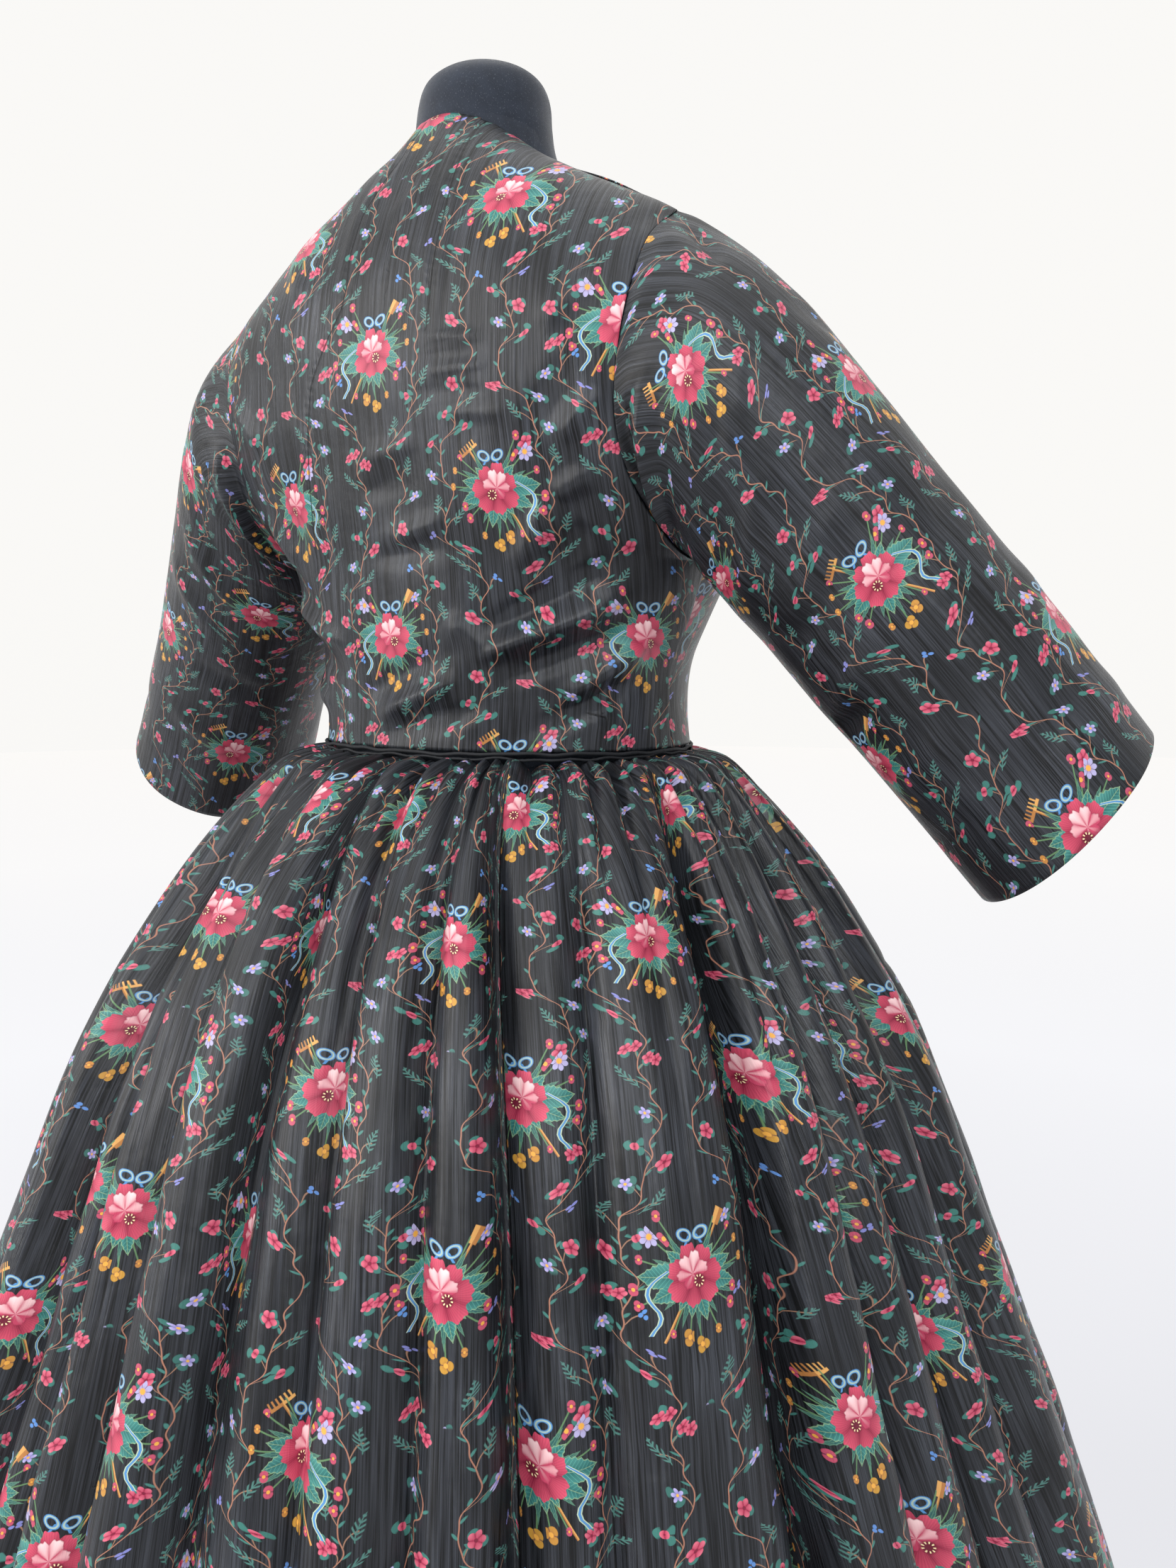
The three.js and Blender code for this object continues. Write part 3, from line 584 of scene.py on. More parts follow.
def gather_table():
    """Every small gather at the waist: its column, depth, half width and how far it runs down."""
    draw = np.random.default_rng(5)
    step = 360 / GATHERS
    table = []
    for k in range(GATHERS):
        table.append((
            FIRST_SEAM + step * (k + 0.5) + draw.uniform(-0.9, 0.9),
            draw.uniform(7.0, 14.0),
            draw.uniform(0.75, 1.25),
            draw.choice([30, 46, 75, 120, 180], p=[0.15, 0.25, 0.25, 0.2, 0.15]),
        ))
    return np.array(table)


def small_fold_table():
    """Narrow folds between the large ones, each with its own start and end depth."""
    draw = np.random.default_rng(8)
    table = []
    for k in range(64):
        start = draw.uniform(10, 160) if draw.random() < 0.6 else draw.uniform(150, 500)
        table.append((
            360 * (k + draw.uniform(-0.4, 0.4)) / 64, draw.uniform(1.2, 4.6),
            draw.uniform(0.9, 1.9), start, start + draw.uniform(120, 520),
        ))
    return np.array(table)


GATHER_TABLE = gather_table()
SMALL_FOLDS = small_fold_table()


def plain_radius(drop):
    """Radius of the skirt without its folds."""
    return curve(SKIRT_PROFILE[:, 0], SKIRT_PROFILE[:, 1], drop)


def skirt_relief(column, drop):
    """How far the cloth stands out from the plain skirt, in millimetres."""
    growth = np.clip((drop - 2) / 72, 0, 1) ** 0.9
    widening = curve([0, 90, 420, 1016], [1.25, 1.55, 1.65, 1.25], drop)
    large = np.full_like(column, 4.6)
    for number, (_, low, depth, spread) in enumerate(FOLDS):
        away = turn_between(column, low) / (spread * (1.1 + drop / 2500))
        # each fold leans over: one side is steep and the other rolls away
        steep, rolled = (0.4, 0.95) if number % 3 else (0.9, 0.46)
        away = np.where(away > 0, away / steep, -away / rolled)
        large -= 1.6 * depth * np.exp(-(away ** 1.1))
    relief = large * growth * widening
    for place, depth, spread, start, end in SMALL_FOLDS:
        away = turn_between(column, place)
        if np.abs(away).min() > 8:
            continue
        length = np.clip((drop - start) / 60, 0, 1) * np.clip((end - drop) / 120, 0, 1)
        relief -= depth * np.exp(-(np.abs(away / spread) ** 1.1)) * length
    for place, depth, spread, fade in GATHER_TABLE:
        away = turn_between(column, place)
        if np.abs(away).min() > 6:
            continue
        relief -= depth * np.exp(-(np.abs(away / spread) ** 1.1)) * np.exp(-drop / fade)
    relief += 2.2 * np.exp(-drop / 70)
    return relief


def skirt_points(column, drop):
    """Points of the folded and gathered skirt at a column and a drop below the waist."""
    plain, lower = plain_radius(drop), plain_radius(drop + 1)
    relief = skirt_relief(column, drop)
    # near the waist the cloth lies flatter, so its gathers sink down as well as in
    slope = np.clip(lower - plain, 0, 2.2)
    sink = np.where(relief < 0, relief, 0) * slope / np.hypot(1, slope) * np.exp(-drop / 110)
    radius = plain + relief
    roundness = 1 - np.exp(-drop / 45)
    bearing = np.radians(column_bearing(column, drop))
    wide = radius + (WAIST_HALF_WIDTH - SKIRT_PROFILE[0, 1]) * (1 - roundness)
    deep = radius + (WAIST_HALF_DEPTH - SKIRT_PROFILE[0, 1]) * (1 - roundness)
    return np.stack((
        -wide * np.sin(bearing), deep * np.cos(bearing), WAIST_HEIGHT - drop + sink,
    ), axis=2)


def fold_share(column, drop):
    """How strongly spare cloth collects at a column: in large folds' troughs and the gathers."""
    share = np.full_like(column, 0.004)
    for _, low, depth, spread in FOLDS:
        away = turn_between(column, low) / (0.32 * spread)
        share += (depth / 15) ** 4 * np.exp(-away ** 2)
    for place, depth, spread, fade in GATHER_TABLE:
        away = turn_between(column, place) / (0.6 * spread)
        share += 0.9 * np.exp(-away ** 2) * np.exp(-drop / 30)
    return share


def column_places(start, end, columns):
    """Columns of a width, closer together in the troughs of the large folds."""
    places = np.linspace(start, end, 1501)
    crowd = np.ones_like(places)
    for _, low, _, _ in FOLDS:
        crowd += 1.6 * np.exp(-(turn_between(places, low) / 1.9) ** 2)
    filled = np.concatenate(([0.0], np.cumsum((crowd[1:] + crowd[:-1]) / 2)))
    return np.interp(np.linspace(0, filled[-1], columns), filled, places)


def skirt_width_grid(number):
    """Points of one width of cloth with their cloth places; columns run to the right."""
    columns, rows = 180, 140
    panel_angle = 360 / SKIRT_PANELS
    start = FIRST_SEAM + (number - 1) * panel_angle
    hem_drop = WAIST_HEIGHT - HEM_CLEARANCE
    drops = 2 + (hem_drop - 2) * np.linspace(0, 1, rows)[::-1] ** 1.9
    column, drop = np.meshgrid(column_places(start, start + panel_angle, columns), drops)
    points = skirt_points(column, drop)
    small_angle = SEAM_GAP / 2 / 400
    for edge, turn in ((0, 1), (-1, -1)):
        across = points[:, edge].copy()
        points[:, edge, 0] = across[:, 0] - turn * small_angle * across[:, 1]
        points[:, edge, 1] = across[:, 1] + turn * small_angle * across[:, 0]
    plain = np.hypot(points[:, :, 0], points[:, :, 1])
    steps = np.diff(np.radians(column_bearing(column, drop)), axis=1) * plain[:, 1:]
    total = steps.sum(axis=1, keepdims=True)
    spare = np.maximum(WIDTH_OF_CLOTH - total, 0)
    collect = fold_share(column, drop)[:, 1:]
    collect = collect / collect.sum(axis=1, keepdims=True)
    u = np.concatenate((np.zeros((rows, 1)), np.cumsum(steps + spare * collect, axis=1)), axis=1)
    profile_steps = np.hypot(np.diff(drops), np.diff(plain_radius(drops)))
    below = np.concatenate((np.cumsum(profile_steps[::-1])[::-1], [0.0]))
    v = -below[:, None] * np.ones((1, columns))
    return points, u, v, column, drop


def skirt_width(number):
    """One width of the skirt, gathered at the waist."""
    points, u, v, column, drop = skirt_width_grid(number)
    relief = creased(column * DEGREE_LENGTH, drop, SKIRT_CREASES)
    relief += ripples(column * 5.5, drop, 51, 9, 62, 0.55) * np.clip(drop / 120, 0, 1)
    points = points + outward(points) * (relief * fade_in(u.shape[1], 5))[:, :, None]
    shift_u, shift_v = SKIRT_PRINT[number - 1]
    prints = np.stack((u + shift_u, v + shift_v), axis=2)
    return cloth_piece(f"skirt_width_{number}", points, prints, marks=seam_marks(u, v, SKIRT_SEAMS))


def skirt_crease_table():
    """Small sharp creases; drawn up as bearing and drop of both ends, height and width."""
    table = [
        ((39.2, 104), (44.5, 118), -1.5, 3.2), ((44.5, 118), (50, 124), -1.4, 3.2),
        ((50, 123), (58, 127), -1.1, 3.4), ((39, 98), (44, 112), 1.0, 3.4),
        ((39.6, 241), (48.1, 248), -1.3, 3.2), ((48.5, 241), (53.3, 270), 1.4, 3.6),
        ((50.5, 238), (55.5, 266), -1.1, 3.6), ((42, 277), (46.5, 268), 1.2, 3.4),
        ((45.6, 292), (52.9, 301), -1.3, 3.2), ((52.9, 293), (56.9, 285), 1.2, 3.4),
        ((24, 120), (31, 132), -1.0, 3.6), ((22.5, 210), (30, 200), 1.0, 4),
        ((64, 180), (70, 192), -1.1, 3.6), ((66, 258), (71.5, 250), 1.1, 4),
        ((2, 150), (10, 160), -1.0, 4),
    ]
    draw = np.random.default_rng(19)
    for _ in range(70):
        bearing, drop = draw.uniform(-34, 326), draw.uniform(60, 980)
        if 0 < bearing < 80 and drop < 320:
            continue
        table.append((
            (bearing, drop), (bearing + draw.uniform(4, 9), drop + draw.uniform(-16, 20)),
            draw.choice([-1.2, 1.1]), draw.uniform(3.4, 5.5),
        ))
    return [
        ((from_bearing * DEGREE_LENGTH, top), (to_bearing * DEGREE_LENGTH, bottom), height, width)
        for (from_bearing, top), (to_bearing, bottom), height, width in table
    ]


# Length on the cloth that a degree of bearing stands for in the skirt's creases.
DEGREE_LENGTH = 6
SKIRT_CREASES = skirt_crease_table()
# The seams between the widths, a hair inside their edges.
SKIRT_SEAMS = [((u, 0), (u, -1140)) for u in (0.4, WIDTH_OF_CLOTH - 0.4)]
# Where each width starts on the print.
SKIRT_PRINT = ((105.5, -29), (20, -60), (70, -110), (130, -10), (7.5, -29))


# ---------------------------------------------------------------- waist piping

def waist_cord(name, drop, inset, radius, seed):
    """A fine corded piping round the waist, a little uneven where it was sewn."""
    around, sides = 420, 11
    bearing = np.linspace(0, math.tau, around)
    angle = np.linspace(0, math.tau, sides)[::-1]
    draw = np.random.default_rng(seed)
    wander = np.zeros(around)
    for waves in (3, 5, 8, 13, 21, 34):
        wander += draw.uniform(0.1, 0.4) * np.sin(waves * bearing + draw.uniform(0, math.tau))
    twist = 0.12 * np.sin(bearing[None, :] * 190 + angle[:, None])
    thickness = radius + twist
    reach = inset + thickness * np.cos(angle)[:, None]
    points = np.stack((
        -(WAIST_HALF_WIDTH + reach) * np.sin(bearing),
        (WAIST_HALF_DEPTH + reach) * np.cos(bearing),
        WAIST_HEIGHT - drop + wander + thickness * np.sin(angle)[:, None],
    ), axis=2)
    prints = np.stack(np.broadcast_arrays(bearing * 116, angle[:, None] * radius), axis=2)
    return cloth_piece(name, points, prints, is_tube=True)


# ---------------------------------------------------------------- dress form

NECK_SECTIONS = np.array([
    # height, centre, half width, half depth
    (352, 20, 49, 41), (366, 20, 44.6, 41.2), (379, 20, 43.2, 40.6), (393, 20, 41.6, 39.6),
    (402, 20, 38.4, 36.8), (408, 19.5, 33, 31.8), (412.5, 19, 25, 24.4), (415.2, 19, 14, 13.6),
    (415.8, 19, 2, 2),
], float)


def form_neck():
    """The padded neck of the form with its domed top."""
    around, rows = 121, 70
    angle = np.linspace(0, math.tau, around)
    section = along(NECK_SECTIONS, np.linspace(0, 1, rows))
    height, centre, half_width, half_depth = (section[:, k:k + 1] for k in range(4))
    sag = 0.5 * np.sin(3 * angle + height / 9) * np.clip((405 - height) / 20, 0, 1)
    points = np.stack((
        -(half_width + sag) * np.sin(angle), centre + (half_depth + sag) * np.cos(angle),
        height + WAIST_HEIGHT + 0 * angle,
    ), axis=2)
    prints = np.stack((angle * 42 + 0 * height, height + 0 * angle), axis=2)
    return cloth_piece("form_neck", points, prints, is_tube=True)


# ---------------------------------------------------------------- material arithmetic

class Amount:
    """A number that a material works out at each point, so that recipes read as arithmetic."""

    def __init__(self, recipe, socket):
        self.recipe = recipe
        self.socket = socket

    def __add__(self, other):
        return self.recipe.math("ADD", self, other)

    def __sub__(self, other):
        return self.recipe.math("SUBTRACT", self, other)

    def __rsub__(self, other):
        return self.recipe.math("SUBTRACT", other, self)

    def __mul__(self, other):
        return self.recipe.math("MULTIPLY", self, other)

    def __truediv__(self, other):
        return self.recipe.math("DIVIDE", self, other)

    def __abs__(self):
        return self.recipe.math("ABSOLUTE", self)

    def __neg__(self):
        return self.recipe.math("MULTIPLY", self, -1.0)

    __radd__ = __add__
    __rmul__ = __mul__


def fill_ramp(ramp, stops):
    """Fills a colour ramp; stops holds (place from 0 to 1, three or four numbers)."""
    for place, _ in stops[1:-1]:
        ramp.elements.new(place)
    for element, (place, numbers) in zip(ramp.elements, stops):
        element.position = place
        element.color = (*numbers, 1)[:4]


class Recipe:
    """Builds the nodes of one material."""

    def __init__(self, name):
        self.material = bpy.data.materials.new(name)
        self.material.use_nodes = True
        self.tree = self.material.node_tree
        self.shader = self.tree.nodes["Principled BSDF"]

    def node(self, kind, **settings):
        made = self.tree.nodes.new(kind)
        for setting, value in settings.items():
            setattr(made, setting, value)
        return made

    def feed(self, socket, value):
        if isinstance(value, Amount):
            self.tree.links.new(value.socket, socket)
        elif isinstance(value, bpy.types.NodeSocket):
            self.tree.links.new(value, socket)
        else:
            socket.default_value = value

    def surface(self, settings):
        """Sets or feeds the shader's inputs by name."""
        for name, value in settings.items():
            self.feed(self.shader.inputs[name], value)

    def arrow(self, *parts):
        made = self.node("ShaderNodeCombineXYZ")
        for socket, part in zip(made.inputs, parts):
            self.feed(socket, part)
        return made.outputs[0]

    def parts(self, socket, kind="ShaderNodeSeparateXYZ"):
        """The three numbers of a place or, with the other kind of node, of a colour."""
        made = self.node(kind)
        self.feed(made.inputs[0], socket)
        return [Amount(self, part) for part in made.outputs]

    def cloth_place(self):
        """Place on the cloth, across and up, in millimetres."""
        u, v, _ = self.parts(self.node("ShaderNodeUVMap", uv_map="cloth").outputs[0])
        return u * 1000, v * 1000

    def solid_place(self):
        """Place in the part's own frame in millimetres."""
        place = self.node("ShaderNodeTexCoord")
        return [part * 1000 for part in self.parts(place.outputs["Object"])]

    def emboss(self, height, strength, distance=0.0003):
        """Relief too fine for the mesh."""
        bump = self.node("ShaderNodeBump")
        bump.inputs["Strength"].default_value = strength
        bump.inputs["Distance"].default_value = distance
        self.feed(bump.inputs["Height"], height)
        self.feed(self.shader.inputs["Normal"], bump.outputs[0])

    def math(self, operation, *amounts, clamp=False):
        made = self.node("ShaderNodeMath", operation=operation, use_clamp=clamp)
        for socket, amount in zip(made.inputs, amounts):
            self.feed(socket, amount)
        return Amount(self, made.outputs[0])

    def size(self, x, y):
        """Length of the arrow x, y."""
        return self.math("SQRT", self.math("MULTIPLY_ADD", x, x, y * y))

    def sine(self, angle):
        return self.math("SINE", angle)

    def turn(self, x, y):
        """Direction of the arrow x, y as a share of a full turn, 0.5 along +x."""
        return self.math("MULTIPLY_ADD", self.math("ARCTAN2", y, x), 1 / math.tau, 0.5)

    def wrap(self, value, low, high):
        return self.math("WRAP", value, high, low)

    def within(self, value, edge, softness=0.16):
        """1 where the value is under the edge, 0 where it is over, with a soft change."""
        return self.math("MULTIPLY_ADD", value - edge, -0.5 / softness, 0.5, clamp=True)

    def between(self, value, low, high, softness=0.16):
        middle, half = (low + high) / 2, (high - low) / 2
        return self.within(abs(value - middle), half, softness)

    def both(self, *masks):
        result = masks[0]
        for mask in masks[1:]:
            result = result * mask
        return result

    def either(self, *masks):
        result = masks[0]
        for mask in masks[1:]:
            result = self.math("MAXIMUM", result, mask)
        return result

    def rotated(self, x, y, degrees):
        c, s = math.cos(math.radians(degrees)), math.sin(math.radians(degrees))
        return (
            self.math("MULTIPLY_ADD", x, c, y * s),
            self.math("MULTIPLY_ADD", x, -s, y * c),
        )

    def graph(self, value, heights):
        """Height of a drawn line at a value from 0 to 1; the heights are evenly spaced."""
        made = self.node("ShaderNodeFloatCurve")
        line = made.mapping.curves[0]
        last = len(heights) - 1
        line.points[0].location = (0, heights[0])
        line.points[1].location = (1, heights[-1])
        for k in range(1, last):
            line.points.new(k / last, heights[k])
        for point in line.points:
            point.handle_type = "VECTOR"
        made.mapping.update()
        self.feed(made.inputs["Value"], value)
        return Amount(self, made.outputs[0])

    def ramp(self, value, stops, change="LINEAR"):
        made = self.node("ShaderNodeValToRGB")
        made.color_ramp.interpolation = change
        fill_ramp(made.color_ramp, stops)
        self.feed(made.inputs[0], value)
        return made

    def chart(self, value, stops):
        """Four numbers from 0 to 1 that change in steps; stops holds (start, four numbers)."""
        made = self.ramp(value, stops, "CONSTANT")
        numbers = self.parts(made.outputs["Color"], "ShaderNodeSeparateColor")
        return numbers + [Amount(self, made.outputs["Alpha"])]

    def dyes(self, value, stops):
        """Colour along a row of dyes; stops holds (place from 0 to 1, dye code)."""
        return self.ramp(value, [(place, paint(code)) for place, code in stops]).outputs["Color"]

    def noise(self, x, y, detail):
        """Soft cloudy value from 0 to 1 over the cloth."""
        made = self.node("ShaderNodeTexNoise", noise_dimensions="2D")
        self.feed(made.inputs["Vector"], self.arrow(x, y))
        made.inputs["Scale"].default_value = 1.0
        made.inputs["Detail"].default_value = detail
        return Amount(self, made.outputs[0])

    def blend(self, share, under, over):
        """One colour over another where share is 1; a colour is a dye code or a socket."""
        made = self.node("ShaderNodeMix", data_type="RGBA", clamp_factor=False)
        self.feed(made.inputs["Factor"], share)
        for socket, colour in ((made.inputs[6], under), (made.inputs[7], over)):
            self.feed(socket, (*paint(colour), 1) if isinstance(colour, str) else colour)
        return made.outputs[2]


def paint(code):
    """Linear colour from a dye-book code such as c8485f."""
    parts = [int(code[k:k + 2], 16) / 255 for k in (0, 2, 4)]
    return tuple(p / 12.92 if p <= 0.04045 else ((p + 0.055) / 1.055) ** 2.4 for p in parts)


def lobes(table, steps=160):
    """Outline of petals round a centre, once round from -180 to 180 degrees.

    The table's rows hold direction in degrees, reach, half width and squareness.
    """
    turn = np.linspace(-180, 180, steps)
    outline = np.zeros(steps)
    for direction, reach, half_width, squareness in table:
        away = np.abs(turn_between(turn, direction)) / half_width
        petal = np.clip(1 - away ** squareness, 0, 1) ** (1 / squareness)
        outline = np.maximum(outline, reach * petal)
    angle = np.radians(turn)
    return outline * (1 + 0.035 * np.sin(angle * 17) + 0.025 * np.sin(angle * 29 + 1))


def petal_tone(table, steps=160):
    """Lightness round a flower: bright along each petal's middle, dark where petals meet."""
    turn = np.linspace(-180, 180, steps)
    tone = np.zeros(steps)
    for direction, _, half_width, _ in table:
        away = np.abs(turn_between(turn, direction)) / (half_width * 0.82)
        tone = np.maximum(tone, np.clip(1 - away ** 2.2, 0, 1))
    return tone


# ---------------------------------------------------------------- chintz print

STRIP = 79.0
REPEAT = 161.0
BUNCH_SIZE = 0.93
BUNCH_SPAN = 80
STEM_APART = 17.5
PRINT_CHOICE = 0.5
# Share of the small motifs up to and with flowers, buds, stars, berries and sprigs.
MOTIF_SHARES = (0.18, 0.36, 0.5, 0.62, 0.93)

# sector start, then the leaf's direction in degrees, length and half width
BROAD_LEAVES = (
    (-180, 176, 25.5, 6.4), (-170, -157, 22, 4.6), (-140, -124, 15.5, 3.0), (-112, -100, 17, 3.4),
    (-88, -76, 19.5, 3.8), (-60, -44, 14, 3.0), (-32, -15, 20.5, 4.8), (0, 16, 19.5, 4.2),
    (34, 48, 15.5, 3.0), (62, 100, 3, 1), (120, 136, 17, 3.6), (151, 176, 25.5, 6.4),
)
THIN_LEAVES = (
    (-180, -172, 17, 1.8), (-150, -142, 19, 1.5), (-130, -112, 21, 1.6), (-96, -88, 22.5, 1.5),
    (-76, -60, 19, 1.5), (-46, -28, 22, 1.6), (-14, 2, 22, 1.6), (16, 30, 21, 1.5),
    (44, 58, 20, 1.6), (72, 92, 3, 1), (112, 122, 21, 1.5), (134, 155, 20, 1.8),
)
LONGEST_LEAF, WIDEST_LEAF = 32, 8
LEAF_PROFILE = (
    0, 0.1, 0.16, 0.22, 0.34, 0.46, 0.6, 0.74, 0.68, 0.82, 0.94, 0.84, 0.96, 1.0, 0.84, 0.94, 0.98,
    0.8, 0.86, 0.88, 0.68, 0.7, 0.72, 0.52, 0.5, 0.5, 0.32, 0.26, 0.16, 0.06, 0,
)
OUTER_PETALS = (
    (4, 12.9, 38, 2.6), (58, 12.4, 36, 2.5), (104, 13.2, 31, 2.5), (158, 12.3, 36, 2.6),
    (212, 13.4, 36, 2.6), (262, 12.2, 33, 2.5), (312, 13.1, 35, 2.6),
)
INNER_PETALS = (
    (22, 7.9, 40, 2.2), (76, 9.2, 34, 2.2), (124, 8.6, 36, 2.2), (178, 7.4, 36, 2.2),
    (236, 6.2, 40, 2.2), (300, 5.8, 40, 2.2),
)
# sector start, then the flower's centre, radius, petals and place on the flower dyes
SIDE_FLOWERS = (
    (-180, -27.0, -3.6, 2.5, 2, 0.6), (-168, -25.4, -9.8, 2.2, 3, 0.6),
    (-148, -12, -21, 1.6, 2, 0.6), (-116, -4.4, -23.5, 3.4, 3, 0.9), (-96, 1.6, -27.5, 3.3, 3, 1.0),
    (-78, 9.5, -22.5, 1.8, 2, 0.8), (-56, 16.6, -13.6, 2.4, 2, 0.6), (-30, 18.6, -7.6, 2.2, 2, 0.6),
    (-10, 24.5, 2.5, 1.8, 2, 0.8), (16, 22.5, 10.5, 1.7, 2, 0.8), (38, 19.0, 16.5, 1.9, 2, 0.6),
    (56, 12, 22, 0.01, 5, 0.4), (104, -15.0, 25.5, 2.3, 2, 0.6), (124, -12.4, 16.4, 3.4, 5, 0.6),
    (132, -18.8, 17.4, 4.4, 7, 0.3), (152, -24.0, 8.5, 1.9, 2, 0.6),
    (170, -27.0, -3.6, 2.5, 2, 0.6),
)
FLOWER_DYES = (
    (0.0, "847cac"), (0.3, "a8a2c8"), (0.45, "c6c3d6"), (0.6, "b34a62"), (0.75, "c05c70"),
    (0.8, "b9803f"), (1.0, "b98a3a"),
)
# how far the ribbon's tail stands out from the peony's middle, from its lower end up, as a share
# of 30 mm
RIBBON_TAIL = (0.72, 0.66, 0.58, 0.55, 0.57, 0.64, 0.7, 0.72, 0.7, 0.62, 0.5, 0.36)


def leaf_ring(recipe, colour, x, y, direction, table, dark, light, edge_dye):
    """Leaves that stand out round a centre, one in each sector, with saw edges, ribs and veins."""
    r = recipe
    cosine, sine, length, half_width = r.chart(direction, [
        ((start + 180) / 360, (
            math.cos(math.radians(angle)) / 2 + 0.5, math.sin(math.radians(angle)) / 2 + 0.5,
            reach / LONGEST_LEAF, width / WIDEST_LEAF,
        )) for start, angle, reach, width in table
    ])
    cosine, sine = cosine * 2 - 1, sine * 2 - 1
    length, half_width = length * LONGEST_LEAF, half_width * WIDEST_LEAF
    along_leaf = r.math("MULTIPLY_ADD", x, cosine, y * sine)
    across = abs(r.math("MULTIPLY_ADD", y, cosine, -(x * sine)))
    edge = r.graph(along_leaf / length, LEAF_PROFILE) * half_width
    leaf = r.both(r.within(across, edge), r.within(along_leaf, length))
    veins = r.within(r.math("PINGPONG", along_leaf - across * 0.9, 0.9), 0.2, 0.12)
    shade = r.math("MULTIPLY_ADD", across / half_width, 0.7, veins * 0.45, clamp=True)
    colour = r.blend(leaf, colour, r.blend(shade, dark, light))
    rib = r.either(r.within(across, 0.14, 0.12) * 0.45, r.within(edge - across, 0.3, 0.2) * 0.6)
    return r.blend(r.both(leaf, rib), colour, edge_dye)


